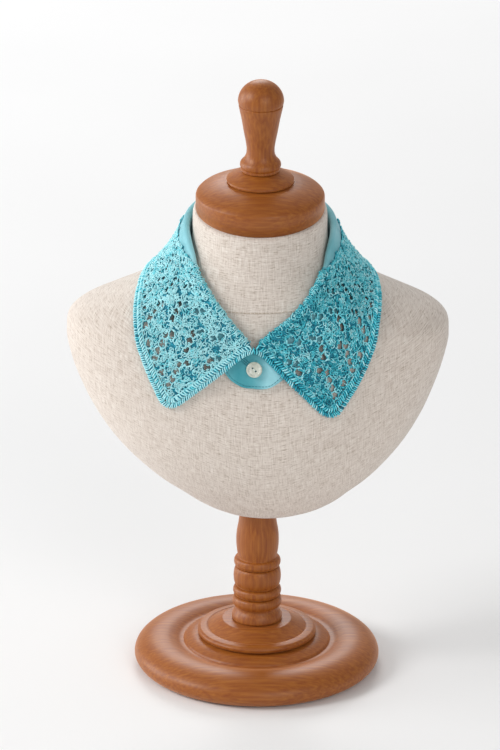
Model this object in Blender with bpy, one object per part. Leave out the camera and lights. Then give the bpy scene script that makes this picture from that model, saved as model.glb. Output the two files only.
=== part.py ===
"""Detachable crochet-lace collar, buttoned round a linen-covered neck form on a turned wooden stand.

Metres, +Z up. The form faces -Y and the origin is the middle of the foot's underside.
Sizes are written in millimetres and turned to metres where a mesh is made.
"""

import math

import bmesh
import bpy
import numpy as np
from mathutils import Matrix, Vector
from mathutils.geometry import delaunay_2d_cdt

MM = 0.001
SEAM = 0.3  # what two sewn or glued pieces keep between them

# Turned wood
BASE_RADIUS = 95.6
STEP_RADIUS = 46.3
STEP_FLOOR = 25.6
POST_FLOOR = 37.6
POST_TOP = 135.7
NECK_CUT_HEIGHT = 378.0
NECK_CUT_SLOPE = math.tan(math.radians(8.7))  # the neck is cut lower at the throat
CAP_RADIUS = 49.2
CAP_LEAN = math.radians(3.0)
CAP_CREASE = 389.0
DISC_RISE = 10.4
FINIAL_RISE = 19.4

# Collar
FALL_WIDTH = 70.0
HALF_ROUND = 231.0  # centre back to front edge, along the middle of the fall
CLOTH = 1.4
LACE = 1.7
ROLL_RADIUS = 2.2
ROLL_STANDOFF = 5.0
STAND_TOP_STANDOFF = 2.8
STAND_FOOT_STANDOFF = 1.7
UNDERLAP_STANDOFF = 1.25
OVERLAP_STANDOFF = 3.0
FALL_OVER_STAND = 5.0
FALL_ON_FORM = 2.1
FALL_SAG = 3.5  # how far it hangs in between the roll and the shoulder
STAND_DEPTH = 36.0
BORDER_WIDTH = 7.7
BORDER_START = -1.4  # its top end reaches up to the crest of the fold
CORNER_RADIUS = 13.0
STRIP_WIDTH = 11.5
STRIP_WIDTH_AT_THROAT = 3.0
BUTTON_RADIUS = 6.1
BUTTON_PLACE = (-3.6, -80.0, 276.1)

# Lace chart: hexagon net in rows from the neckline down to the border, its four columns repeated.
# O is a gap over 4 mm, + a small one and # a cell of a closed flower, seven to a flower.
CHART = (
    "+##+",
    "###O",
    "+##O",
    "+O++",
    "#O+#",
    "#O##",
    "#+O#",
    "+++O",
    "+##O",
    "###O",
    "O##+",
    "O+O+",
)
CHART_COLUMNS = 40
ROW_STEP = 4.9
CHART_START = 2.2
GAP = 4.5  # across the flats

# Linen form, a row for each level: height, half width, depth to the front and to the back,
# squareness of the section and how far its middle sways to +X.
FORM_LEVELS = (
    (392.0, 51.2, 51.0, 50.5, 2.0, 0.0),
    (372.0, 51.3, 52.5, 51.0, 2.0, 0.0),
    (356.0, 51.8, 54.5, 52.5, 2.0, 0.0),
    (345.0, 54.0, 56.0, 54.5, 2.0, 0.0),
    (336.0, 60.5, 58.0, 56.5, 2.0, 0.0),
    (328.0, 72.0, 60.5, 59.5, 2.05, 0.0),
    (321.0, 87.0, 63.0, 61.5, 2.1, 0.0),
    (314.0, 103.5, 65.5, 63.5, 2.1, -0.2),
    (307.0, 120.5, 68.0, 65.5, 2.15, -0.5),
    (301.0, 134.0, 70.0, 67.5, 2.2, -0.8),
    (294.0, 143.0, 72.0, 69.0, 2.3, -1.0),
    (280.0, 146.5, 75.5, 70.5, 2.3, -1.1),
    (262.0, 143.5, 79.5, 71.0, 2.3, -1.1),
    (240.0, 136.0, 83.0, 70.5, 2.3, -0.6),
    (218.0, 125.8, 84.0, 68.5, 2.3, 0.4),
    (198.0, 113.0, 82.5, 65.0, 2.3, 1.6),
    (181.0, 98.7, 78.0, 60.0, 2.25, 3.0),
    (167.0, 84.3, 71.0, 54.0, 2.2, 4.4),
    (156.0, 70.5, 63.0, 47.5, 2.1, 5.6),
    (147.0, 58.3, 55.0, 41.0, 2.1, 6.5),
    (141.0, 48.0, 47.0, 34.0, 2.0, 6.5),
    (137.5, 38.0, 38.5, 28.0, 2.0, 5.0),
    (136.0, 28.0, 31.0, 22.0, 2.0, 3.0),
)

# Collar ribs from the centre back to the front edge: where the roll runs, where the fall's
# outer edge lies and where the stand's foot runs. One table for each side of the neck.
RIBS_RIGHT_HAND = (
    ((0.0, 55.0, 373.0), (0.0, 70.0, 306.0), (0.0, 57.0, 343.0)),
    ((-28.0, 47.5, 372.5), (-40.0, 64.0, 304.0), (-30.0, 50.0, 342.0)),
    ((-47.0, 27.0, 369.5), (-70.0, 42.0, 310.0), (-50.0, 29.0, 340.0)),
    ((-54.0, 0.0, 363.0), (-87.0, 8.0, 320.0), (-59.0, 0.0, 336.0)),
    ((-52.2, -20.0, 354.0), (-93.0, -23.0, 317.0), (-59.0, -24.0, 327.0)),
    ((-44.5, -42.0, 334.8), (-93.5, -47.0, 301.0), (-55.0, -44.0, 311.0)),
    ((-28.8, -61.5, 314.0), (-86.0, -67.0, 271.0), (-41.0, -63.0, 288.5)),
    ((-5.1, -75.0, 289.3), (-70.8, -80.0, 237.0), (-20.0, -77.0, 266.0)),
)
RIBS_LEFT_HAND = (
    ((0.0, 55.0, 373.0), (0.0, 70.0, 306.0), (0.0, 57.0, 343.0)),
    ((28.0, 47.5, 372.5), (40.0, 64.0, 304.0), (30.0, 50.0, 342.0)),
    ((47.0, 27.0, 369.5), (70.0, 42.0, 310.0), (50.0, 29.0, 340.0)),
    ((54.0, 0.0, 363.0), (87.0, 8.0, 321.0), (59.0, 0.0, 336.0)),
    ((54.5, -20.0, 353.8), (92.0, -23.0, 318.0), (59.5, -24.0, 327.0)),
    ((47.2, -40.0, 337.5), (89.5, -47.0, 302.0), (56.5, -43.0, 311.0)),
    ((31.0, -60.5, 316.0), (78.5, -69.0, 267.0), (43.0, -62.0, 288.5)),
    ((-3.3, -75.0, 289.6), (55.9, -80.0, 231.0), (17.0, -78.0, 266.5)),
)
# The stand's ends run on past the middle and button over each other: top and foot of each rib.
OVERLAP = (
    ((-4.0, -76.0, 288.0), (-12.0, -80.0, 262.0)),
    ((-1.0, -76.0, 286.5), (-3.0, -82.0, 261.6)),
    ((5.0, -76.0, 284.0), (8.0, -81.0, 262.0)),
    ((12.0, -76.0, 282.0), (18.0, -79.0, 270.0)),
)
UNDERLAP = (
    ((-1.5, -76.0, 287.0), (8.0, -81.0, 261.5)),
    ((-4.5, -76.0, 285.0), (-3.0, -82.0, 261.0)),
    ((-12.0, -76.0, 282.0), (-15.0, -79.0, 266.0)),
)


def clear_scene():
    for obj in list(bpy.data.objects):
        bpy.data.objects.remove(obj, do_unlink=True)


def finish(name, colour, roughness):
    """One material per sub-part, its colour in linear light."""
    material = bpy.data.materials.new(name)
    material.use_nodes = True
    shader = material.node_tree.nodes["Principled BSDF"]
    shader.inputs["Base Color"].default_value = (*colour, 1.0)
    shader.inputs["Roughness"].default_value = roughness
    return material


def add_object(name, mesh, material, smooth_angle=40.0):
    mesh.materials.append(material)
    mesh.shade_smooth()
    mesh.set_sharp_from_angle(angle=math.radians(smooth_angle))
    obj = bpy.data.objects.new(name, mesh)
    bpy.context.scene.collection.objects.link(obj)
    return obj


def mesh_from(name, points_mm, faces):
    """A mesh of points in millimetres, its normals turned outwards."""
    mesh = bpy.data.meshes.new(name)
    mesh.from_pydata([tuple(float(value) * MM for value in point) for point in points_mm], [], faces)
    build = bmesh.new()
    build.from_mesh(mesh)
    bmesh.ops.recalc_face_normals(build, faces=build.faces)
    build.to_mesh(mesh)
    build.free()
    return mesh


def turned(name, profile, material, sides, place=None):
    """A turned piece: (radius, height) pairs from the underside's middle up to the top's."""
    build = bmesh.new()
    rings = [build.verts.new((radius * MM, 0.0, height * MM)) for radius, height in profile]
    edges = [build.edges.new(pair) for pair in zip(rings, rings[1:])]
    circle = {"cent": (0, 0, 0), "axis": (0, 0, 1), "angle": 2 * math.pi, "steps": sides}
    bmesh.ops.spin(build, geom=rings + edges, use_merge=True, **circle)
    bmesh.ops.remove_doubles(build, verts=build.verts, dist=1e-6)
    bmesh.ops.recalc_face_normals(build, faces=build.faces)
    if place is not None:
        bmesh.ops.transform(build, matrix=place, verts=build.verts)
    mesh = bpy.data.meshes.new(name)
    build.to_mesh(mesh)
    build.free()
    return add_object(name, mesh, material)


def bead(low, high, foot, belly, count):
    """Profile points of a rounded bead between two heights, from its foot radius out to its belly."""
    middle, half = (low + high) / 2, (high - low) / 2
    angles = [math.pi * (step + 0.5) / count - math.pi / 2 for step in range(count)]
    return [(foot + (belly - foot) * math.cos(angle), middle + half * math.sin(angle)) for angle in angles]


def ring_faces(rows, around):
    """Quads of a closed tube of rows, with both ends filled."""
    faces = [tuple(range(around)), tuple((rows - 1) * around + side for side in range(around))]
    for row in range(rows - 1):
        low, high = row * around, (row + 1) * around
        for side in range(around):
            after = (side + 1) % around
            faces.append((low + side, low + after, high + after, high + side))
    return faces


# ---- the wooden stand ----


def build_base(wood):
    profile = [
        (0, 0),
        (84.5, 0),
        (89.4, 1.5),
        (93.4, 4.8),
        (BASE_RADIUS, 9.8),
        (94.2, 14.8),
        (90.0, 18.9),
        (83.5, 21.4),
        (77.0, 21.2),
        (70.0, 18.9),
        (63.5, 17.2),
        (57.8, 17.4),
        (56.2, 19.6),
        (50.0, 23.6),
        (44.0, 25.0),
        (0, 25.3),
    ]
    turned("base", profile, wood, 36)


def build_base_step(wood):
    profile = [
        (0, STEP_FLOOR),
        (44.8, STEP_FLOOR),
        (STEP_RADIUS, STEP_FLOOR + 1.2),
        (STEP_RADIUS, STEP_FLOOR + 3.2),
        (44.6, STEP_FLOOR + 4.9),
        (39.6, STEP_FLOOR + 5.6),
        (38.4, STEP_FLOOR + 5.2),
        (35.0, STEP_FLOOR + 7.0),
        (28.4, POST_FLOOR - SEAM - 0.9),
        (27.0, POST_FLOOR - SEAM),
        (0, POST_FLOOR - SEAM),
    ]
    turned("base_step", profile, wood, 28)


def build_post(wood):
    profile = [(0, POST_FLOOR), (19.1, POST_FLOOR), (19.6, POST_FLOOR + 1.0)]
    profile += [(19.4, 41.2), (18.2, 44.0), (16.7, 46.4)]
    profile += [(16.5, 47.9)] + bead(48.4, 57.0, 16.6, 19.3, 2)
    profile += [(16.6, 57.3)] + bead(57.7, 64.9, 16.4, 18.8, 2)
    profile += [(15.9, 65.3)] + bead(65.7, 81.4, 16.0, 18.5, 3)
    profile += [(16.1, 81.8)] + bead(82.2, 89.2, 16.0, 18.2, 2)
    profile += [(15.1, 90.0), (16.1, 96.0), (16.6, 103.0), (16.2, 111.0), (15.0, 118.0)]
    profile += [(13.0, POST_TOP), (0, POST_TOP)]
    turned("post", profile, wood, 22)


def cap_place(rise=0.0):
    """The cap's tilt about the neck's axis, at the level of its crease."""
    lean = Matrix.Rotation(CAP_LEAN, 4, "X")
    return Matrix.Translation((0, 0, CAP_CREASE * MM)) @ lean @ Matrix.Translation((0, 0, rise * MM))


def build_neck_cap(wood):
    profile = [
        (0, -10.0),
        (CAP_RADIUS, -10.0),
        (CAP_RADIUS, -1.6),
        (48.7, 0.2),
        (46.6, 2.3),
        (41.0, 5.4),
        (33.0, 8.4),
        (26.0, DISC_RISE - SEAM),
        (0, DISC_RISE - SEAM),
    ]
    obj = turned("neck_cap", profile, wood, 32, cap_place())
    for vertex in obj.data.vertices:
        if vertex.co.z < (CAP_CREASE - 6.0) * MM:
            vertex.co.z = NECK_CUT_HEIGHT * MM + NECK_CUT_SLOPE * vertex.co.y


def build_cap_disc(wood):
    top = FINIAL_RISE - DISC_RISE - SEAM
    profile = [(0, 0), (25.2, 0), (25.9, 0.7), (25.9, 2.0), (25.0, 2.8), (20.5, 5.2), (16.6, top), (0, top)]
    turned("cap_disc", profile, wood, 24, cap_place(DISC_RISE))


def build_finial(wood):
    head_radius, head_height, groove = 17.5, 16.2, 53.4
    profile = [(0, 0), (14.4, 0), (15.1, 0.7), (14.9, 2.3), (15.7, 3.8), (15.3, 6.4), (12.9, 9.2)]
    profile += [(11.2, 12.2), (10.7, 17.0), (11.4, 23.0), (14.4, 40.0), (16.9, groove - 1.2)]
    profile += [(16.9, groove - 0.5), (16.2, groove), (17.1, groove + 0.6), (head_radius, groove + 2.8)]
    for step in range(1, 6):
        angle = math.radians(18 * step)
        profile.append((head_radius * math.cos(angle), groove + 2.8 + head_height * math.sin(angle)))
    turned("finial", profile, wood, 20, cap_place(FINIAL_RISE))


# ---- the linen form ----

LEVEL_HEIGHTS = np.array([level[0] for level in FORM_LEVELS][::-1])
LEVEL_VALUES = np.array([level[1:] for level in FORM_LEVELS][::-1])


def level_at(height):
    """Half width, front, back, squareness and sway at a height, on smooth curves through the rows."""
    height = np.clip(height, LEVEL_HEIGHTS[0], LEVEL_HEIGHTS[-1])
    low = np.clip(np.searchsorted(LEVEL_HEIGHTS, height) - 1, 0, len(LEVEL_HEIGHTS) - 2)
    slopes = np.gradient(LEVEL_VALUES, LEVEL_HEIGHTS, axis=0)
    span = LEVEL_HEIGHTS[low + 1] - LEVEL_HEIGHTS[low]
    part = ((height - LEVEL_HEIGHTS[low]) / span)[..., None]
    start, end = LEVEL_VALUES[low], LEVEL_VALUES[low + 1]
    rise_in, rise_out = slopes[low] * span[..., None], slopes[low + 1] * span[..., None]
    return (
        start * (2 * part**3 - 3 * part**2 + 1)
        + rise_in * (part**3 - 2 * part**2 + part)
        + end * (3 * part**2 - 2 * part**3)
        + rise_out * (part**3 - part**2)
    )


def form_section(points):
    """How far out each point lies: 0 on the form's skin, in parts of its section's radius."""
    half, front, back, power, sway = np.moveaxis(level_at(points[:, 2]), -1, 0)
    across = np.abs(points[:, 0] - sway) / half
    along = np.abs(points[:, 1]) / np.where(points[:, 1] < 0, front, back)
    return (across**power + along**power) ** (1 / power) - 1


def skin_normal(points):
    """The form's outward normal near each point and the point's distance from its skin."""
    step = 0.05
    slopes = [form_section(points + step * axis) - form_section(points - step * axis) for axis in np.eye(3)]
    slope = np.stack(slopes, axis=1) / (2 * step)
    length = np.linalg.norm(slope, axis=1)
    return slope / length[:, None], form_section(points) / length


def stood_off(points, distance):
    """Points moved along the form's normal until they stand at a distance from its skin."""
    points = np.array(points, float)
    for _ in range(6):
        normal, gap = skin_normal(points)
        points += normal * (distance - gap)[:, None]
    return points


def pushed_clear(points, distance):
    """Points nearer the form than a distance moved out to it, the others left where they are."""
    points = np.array(points, float)
    for _ in range(6):
        normal, gap = skin_normal(points)
        points += normal * np.maximum(distance - gap, 0)[:, None]
    return points


def neck_cut(y):
    return NECK_CUT_HEIGHT + NECK_CUT_SLOPE * y


def build_form(linen):
    sides = 40
    heights = [380, 364, 352, 345, 339, 333.5, 328, 321, 314, 307, 301, 295, 286]
    heights += [272, 254, 234, 214, 196, 180, 166, 155, 147, 141, 137.5, 136]
    turn = np.arange(sides) * 2 * math.pi / sides
    points = []
    for row, height in enumerate(heights):
        half, front, back, power, sway = level_at(np.array([float(height)]))[0]
        cosine, sine = np.cos(turn), np.sin(turn)
        x = sway + half * np.sign(cosine) * np.abs(cosine) ** (2 / power)
        y = np.where(sine < 0, front, back) * np.sign(sine) * np.abs(sine) ** (2 / power)
        z = neck_cut(y) - SEAM if row == 0 else np.full(sides, float(height))
        points += list(np.stack([x, y, z], axis=1))
    faces = ring_faces(len(heights), sides)
    add_object("bust_form", mesh_from("bust_form", points, faces), linen, 60)


# ---- the collar ----


class Half:
    """One half of the collar: u runs from the centre back (0) to the front edge (1), t down the fall."""

    def __init__(self, ribs):
        self.roll, self.edge, self.foot = (np.array([rib[part] for rib in ribs]) for part in range(3))
        middle = self.curve((self.roll + self.edge) / 2, np.linspace(0, 1, 401))
        walked = np.concatenate([[0], np.cumsum(np.linalg.norm(np.diff(middle, axis=0), axis=1))])
        self.walked = walked / walked[-1]

    @staticmethod
    def curve(rows, u):
        """A smooth curve through evenly spaced rows, square to the centre back."""
        slopes = np.gradient(rows, axis=0)
        slopes[0, 1:] = 0
        place = np.clip(u, 0, 1) * (len(rows) - 1)
        low = np.minimum(place.astype(int), len(rows) - 2)
        part = (place - low)[:, None]
        return (
            rows[low] * (2 * part**3 - 3 * part**2 + 1)
            + slopes[low] * (part**3 - 2 * part**2 + part)
            + rows[low + 1] * (3 * part**2 - 2 * part**3)
            + slopes[low + 1] * (part**3 - part**2)
        )

    def even(self, u):
        """The rib parameter at an even distance round the collar."""
        return np.interp(u, self.walked, np.linspace(0, 1, len(self.walked)))

    def roll_frame(self, u):
        """Centre of the roll, the outward and upward directions across it and where its arc ends."""
        rib = self.even(u)
        centre = stood_off(self.curve(self.roll, rib), ROLL_STANDOFF)
        next_on, last_on = np.minimum(rib + 0.01, 1), np.maximum(rib - 0.01, 0)
        ahead = self.curve(self.roll, next_on) - self.curve(self.roll, last_on)
        ahead /= np.linalg.norm(ahead, axis=1)[:, None]
        out = skin_normal(centre)[0]
        out -= ahead * np.sum(out * ahead, axis=1)[:, None]
        out /= np.linalg.norm(out, axis=1)[:, None]
        up = np.cross(out, ahead)
        up *= np.sign(up[:, 2])[:, None]
        edge = stood_off(self.curve(self.edge, rib), FALL_ON_FORM)
        down = edge - centre
        turn_end = np.arctan2(np.sum(down * out, axis=1), -np.sum(down * up, axis=1))
        return centre, out, up, edge, turn_end

    def fall(self, u, t):
        """Points on the fall's middle surface, u and t from 0 to 1."""
        u, t = np.broadcast_arrays(np.atleast_1d(u).astype(float), np.atleast_1d(t).astype(float))
        centre, out, up, edge, turn_end = self.roll_frame(u)
        start = centre + ROLL_RADIUS * (np.cos(turn_end)[:, None] * out + np.sin(turn_end)[:, None] * up)
        points = start + (edge - start) * t[:, None]
        points -= out * (FALL_SAG * np.sin(math.pi * t))[:, None]
        depth = t * FALL_WIDTH
        blend = np.clip((depth - STAND_DEPTH) / 9.0, 0, 1)
        return pushed_clear(points, FALL_OVER_STAND + (FALL_ON_FORM - FALL_OVER_STAND) * blend)

    def fall_normal(self, u, t):
        step = 0.004
        along = self.fall(np.minimum(u + step, 1), t) - self.fall(np.maximum(u - step, 0), t)
        down = self.fall(u, np.minimum(t + step, 1)) - self.fall(u, np.maximum(t - step, 0))
        normal = np.cross(along, down)
        normal /= np.linalg.norm(normal, axis=1)[:, None]
        facing = np.sum(normal * skin_normal(self.fall(u, t))[0], axis=1)
        return normal * np.sign(facing)[:, None]

    def laid(self, flat, lift):
        """Flat millimetres (round, down) laid on the fall and lifted off its middle surface."""
        flat = np.asarray(flat, float)
        u, t = flat[:, 0] / HALF_ROUND, flat[:, 1] / FALL_WIDTH
        return self.fall(u, t) + self.fall_normal(u, t) * np.asarray(lift, float).reshape(-1, 1)


def strip_width(round_mm):
    """The plain turned strip narrows towards the throat."""
    narrowing = np.clip((np.asarray(round_mm, float) - 120.0) / 75.0, 0, 1)
    smooth = narrowing**2 * (3 - 2 * narrowing)
    return STRIP_WIDTH + (STRIP_WIDTH_AT_THROAT - STRIP_WIDTH) * smooth


def border_path(inset, spacing):
    """Flat path inside the fall's front and outer edges, at an inset, from the fold round the corner."""
    front, low = HALF_ROUND - inset, FALL_WIDTH - inset
    radius = max(CORNER_RADIUS - inset, 0.6)
    down = np.arange(BORDER_START, low - radius, spacing)
    corner = np.linspace(0, math.pi / 2, 6)
    along = front - radius
    path = [(front, depth) for depth in down]
    path += [(along + radius * math.cos(turn), low - radius + radius * math.sin(turn)) for turn in corner]
    path += [(place, low) for place in np.linspace(along, SEAM / 2, int(along / spacing) + 1)[1:]]
    return np.array(path)


def build_border(name, half, material):
    """Two raised cords with a groove between them, along the front edge and the outer edge."""
    profile = (
        (0.3, -0.9),
        (0.0, 0.8),
        (2.1, 2.1),
        (3.85, 0.9),
        (5.6, 2.1),
        (BORDER_WIDTH - SEAM, 0.4),
        (BORDER_WIDTH - SEAM - 0.3, -0.9),
    )
    outer, inner = border_path(0.0, 6.0), border_path(BORDER_WIDTH, 6.0)
    count = len(outer)
    walk = np.linspace(0, 1, len(inner))
    inner = np.stack([np.interp(np.linspace(0, 1, count), walk, inner[:, axis]) for axis in (0, 1)], axis=1)
    rows = []
    for inset, lift in profile:
        path = border_path(inset, 6.0)
        if len(path) != count:
            path = outer + (inner - outer) * (inset / BORDER_WIDTH)
        rows.append(half.laid(path, np.full(count, lift)))
    points = np.stack(rows, axis=1).reshape(-1, 3)
    add_object(name, mesh_from(name, points, ring_faces(count, len(profile))), material)


def cell_corners(row, column, across):
    """Corners of a hexagon cell of the chart, in flat millimetres."""
    step = HALF_ROUND / CHART_COLUMNS
    middle = np.array([(column + 0.5 + 0.5 * (row % 2)) * step, CHART_START + (row + 0.5) * ROW_STEP])
    turns = math.radians(30) + np.arange(6) * math.pi / 3
    reach = across / math.sqrt(3)
    return middle, middle + reach * np.stack([np.cos(turns), np.sin(turns)], axis=1)


def lace_outline():
    """Flat outline of one half of the net: strip edge, border and the seam at the centre back."""
    inset = BORDER_WIDTH
    path = border_path(inset, 6.0)
    start = strip_width(HALF_ROUND - inset) + SEAM
    path = path[path[:, 1] > start + 1.0]
    top_round = np.arange(SEAM / 2, HALF_ROUND - inset, 6.0)
    top = [(place, strip_width(place) + SEAM) for place in top_round] + [(HALF_ROUND - inset, start)]
    return np.concatenate([np.array(top), path])


def inside(polygon, point):
    after = np.roll(polygon, -1, axis=0)
    crosses = (polygon[:, 1] > point[1]) != (after[:, 1] > point[1])
    rise = np.where(after[:, 1] == polygon[:, 1], 1.0, after[:, 1] - polygon[:, 1])
    where = polygon[:, 0] + (point[1] - polygon[:, 1]) / rise * (after[:, 0] - polygon[:, 0])
    return bool(np.count_nonzero(crosses & (point[0] < where)) % 2)


def lace_gaps(outline):
    """The chart's open cells that lie wholly inside the outline with a rim of thread left round them."""
    gaps = []
    for row, line in enumerate(CHART):
        for column in range(-1, CHART_COLUMNS + 1):
            if line[column % len(line)] != "O":
                continue
            if all(inside(outline, corner) for corner in cell_corners(row, column, GAP + 1.4)[1]):
                gaps.append(cell_corners(row, column, GAP)[1])
    return gaps


def build_lace(name, half, material):
    """A wall of lace with its gaps cut through, laid over the stand and the form."""
    outline = lace_outline()
    loops = [outline] + lace_gaps(outline)
    flat = np.concatenate(loops)
    starts = np.cumsum([0] + [len(loop) for loop in loops])
    edges = []
    for start, loop in zip(starts, loops):
        edges += [(start + step, start + (step + 1) % len(loop)) for step in range(len(loop))]
    found = delaunay_2d_cdt([Vector(point) for point in flat], edges, [], 1, 1e-4)
    flat = np.array([tuple(point) for point in found[0]])
    faces = []
    for face in found[2]:
        middle = flat[list(face)].mean(axis=0)
        near = [loop for loop in loops[1:] if abs(loop[0][0] - middle[0]) < 2 * GAP]
        if inside(outline, middle) and not any(inside(loop, middle) for loop in near):
            faces.append(tuple(face))
    count = len(flat)
    upper, lower = half.laid(flat, np.full(count, LACE / 2)), half.laid(flat, np.full(count, -LACE / 2))
    directed = {(face[step], face[(step + 1) % 3]) for face in faces for step in range(3)}
    rims = [(a, b) for a, b in directed if (b, a) not in directed]
    walls = [(b, a, a + count, b + count) for a, b in sorted(rims)]
    under = [tuple(corner + count for corner in face[::-1]) for face in faces]
    mesh = mesh_from(name, np.concatenate([upper, lower]), faces + under + walls)
    add_object(name, mesh, material)


def build_roll(name, half, material):
    """The plain cotton strip: up inside the stand, over the roll and down under the lace's edge."""
    rounds = np.linspace(SEAM / 2, HALF_ROUND - BORDER_WIDTH - SEAM, 26)
    u = rounds / HALF_ROUND
    centre, out, up, _, turn_end = half.roll_frame(u)
    shell = CLOTH / 2
    inner, outer = [], []
    arc_steps = 3
    for step in range(arc_steps + 1):
        turn = math.pi + (turn_end - math.pi) * step / arc_steps
        ray = np.cos(turn)[:, None] * out + np.sin(turn)[:, None] * up
        inner.append(centre + ray * (ROLL_RADIUS - shell))
        outer.append(centre + ray * (ROLL_RADIUS + shell))
    for share in (0.5, 1.0):
        flat = np.stack([rounds, strip_width(rounds) * share], axis=1)
        inner.append(half.laid(flat, np.full(len(flat), -shell)))
        outer.append(half.laid(flat, np.full(len(flat), shell)))
    ring = outer + inner[::-1]
    points = np.stack(ring, axis=1).reshape(-1, 3)
    add_object(name, mesh_from(name, points, ring_faces(len(rounds), len(ring))), material)


def build_stand(right_hand, left_hand, material):
    """The cotton band round the neck, its two ends buttoned over each other at the throat."""
    u = np.linspace(0, 1, 20)
    top, foot, depth = [], [], []

    def add_half(half, ends, under, flip):
        rib = half.even(u)
        centre, out, up, _, _ = half.roll_frame(u)
        upper = centre - out * ROLL_RADIUS - up * (SEAM + 0.2)
        lower = half.curve(half.foot, rib)
        near = np.clip((u - 0.86) / 0.12, 0, 1)
        lap = UNDERLAP_STANDOFF if under else OVERLAP_STANDOFF
        top_gap = STAND_TOP_STANDOFF + (lap - STAND_TOP_STANDOFF) * near
        foot_gap = STAND_FOOT_STANDOFF + (lap - STAND_FOOT_STANDOFF) * near
        upper = np.concatenate([upper, [end[0] for end in ends]])
        lower = np.concatenate([lower, [end[1] for end in ends]])
        top_gap = np.concatenate([top_gap, [lap] * len(ends)])
        foot_gap = np.concatenate([foot_gap, [lap] * len(ends)])
        order = slice(None, None, -1) if flip else slice(1, None)
        top.extend(np.array(upper)[order])
        foot.extend(np.array(lower)[order])
        depth.extend(np.stack([top_gap, foot_gap], axis=1)[order])

    add_half(left_hand, UNDERLAP, True, True)
    add_half(right_hand, OVERLAP, False, False)
    top_points, foot_points, gaps = np.array(top), np.array(foot), np.array(depth)
    columns = []
    for share in (0.0, 0.33, 0.67, 1.0):
        chord = top_points + (foot_points - top_points) * share
        standoff = gaps[:, 0] + (gaps[:, 1] - gaps[:, 0]) * share
        columns.append(stood_off(chord, standoff))
    outer = [column + skin_normal(column)[0] * CLOTH / 2 for column in columns]
    inner = [column - skin_normal(column)[0] * CLOTH / 2 for column in columns]
    ring = outer + inner[::-1]
    points = np.stack(ring, axis=1).reshape(-1, 3)
    mesh = mesh_from("collar_stand", points, ring_faces(len(top_points), len(ring)))
    add_object("collar_stand", mesh, material)


def build_button(shell):
    """A two-hole shirt button, rimmed, flat on the overlap."""
    place = stood_off(np.array([BUTTON_PLACE]), OVERLAP_STANDOFF + CLOTH / 2 + SEAM)
    normal = Vector(skin_normal(place)[0][0])
    profile = [(0, 0), (4.6, 0), (5.8, 0.8), (BUTTON_RADIUS, 1.6), (5.6, 2.4), (4.9, 2.5)]
    profile += [(4.0, 1.7), (0, 1.5)]
    stand_up = Vector((0, 0, 1)).rotation_difference(normal).to_matrix().to_4x4()
    matrix = Matrix.Translation(Vector(place[0]) * MM) @ stand_up
    button = turned("button", profile, shell, 18, matrix)
    turn, reach, radius = math.radians(135), 1.35 * MM, 0.75 * MM
    for side in (-1, 1):
        build = bmesh.new()
        drill = {"segments": 8, "radius1": radius, "radius2": radius, "depth": 8 * MM}
        bmesh.ops.create_cone(build, cap_ends=True, **drill)
        offset = Matrix.Translation((side * reach * math.cos(turn), side * reach * math.sin(turn), 0))
        bmesh.ops.transform(build, matrix=matrix @ offset, verts=build.verts)
        mesh = bpy.data.meshes.new(f"thread_hole_{side}")
        build.to_mesh(mesh)
        build.free()
        cutter = bpy.data.objects.new(f"thread_hole_{side}", mesh)
        cutter.hide_render = True
        cutter.display_type = "WIRE"
        bpy.context.scene.collection.objects.link(cutter)
        cut = button.modifiers.new(f"hole_{side}", "BOOLEAN")
        cut.object = cutter
        cut.operation = "DIFFERENCE"
        cut.solver = "EXACT"


def main():
    clear_scene()
    wood = finish("turned_wood", (0.43, 0.14, 0.045), 0.38)
    linen = finish("linen", (0.66, 0.60, 0.52), 0.9)
    cotton = finish("turquoise_cotton", (0.16, 0.55, 0.60), 0.8)
    thread = finish("turquoise_thread", (0.12, 0.48, 0.56), 0.6)
    shell = finish("shell_button", (0.80, 0.78, 0.68), 0.3)
    build_base(wood)
    build_base_step(wood)
    build_post(wood)
    build_form(linen)
    build_neck_cap(wood)
    build_cap_disc(wood)
    build_finial(wood)
    right_hand, left_hand = Half(RIBS_RIGHT_HAND), Half(RIBS_LEFT_HAND)
    build_stand(right_hand, left_hand, cotton)
    for side, half in (("right", right_hand), ("left", left_hand)):
        build_roll(f"roll_strip_{side}", half, cotton)
        build_lace(f"lace_{side}", half, thread)
        build_border(f"lace_border_{side}", half, thread)
    build_button(shell)


main()
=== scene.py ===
"""Looks of the lace collar on its bust display stand: crochet, cotton, linen, turned wood and a button.

Metres, +Z up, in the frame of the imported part. Lengths are written in millimetres and multiplied by MM.
A half of the collar is worked flat, as it is crocheted: x runs round the neck from the centre back to the
front edge, y runs down from the fold to the outer edge, and the flat work is then laid on the form.
"""

import math

import bmesh
import bpy
import numpy as np
from mathutils import Matrix, Quaternion, Vector


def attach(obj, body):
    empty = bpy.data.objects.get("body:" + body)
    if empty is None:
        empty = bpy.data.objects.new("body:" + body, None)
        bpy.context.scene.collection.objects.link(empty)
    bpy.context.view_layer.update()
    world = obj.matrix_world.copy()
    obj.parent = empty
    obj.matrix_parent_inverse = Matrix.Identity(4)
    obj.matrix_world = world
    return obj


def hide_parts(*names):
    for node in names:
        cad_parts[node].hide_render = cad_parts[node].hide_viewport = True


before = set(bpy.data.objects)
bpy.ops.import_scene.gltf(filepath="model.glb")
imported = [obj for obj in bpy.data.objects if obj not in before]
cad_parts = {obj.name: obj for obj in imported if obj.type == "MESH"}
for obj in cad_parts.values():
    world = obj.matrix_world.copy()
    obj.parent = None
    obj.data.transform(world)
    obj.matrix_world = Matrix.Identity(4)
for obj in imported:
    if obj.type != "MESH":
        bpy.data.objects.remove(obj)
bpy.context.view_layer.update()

MM = 0.001
FORWARD = (0.0, -1.0, 0.0)  # the way that the throat faces
rng = np.random.default_rng(1908)

# ------------------------------------------------------------------ sizes, in millimetres

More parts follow.
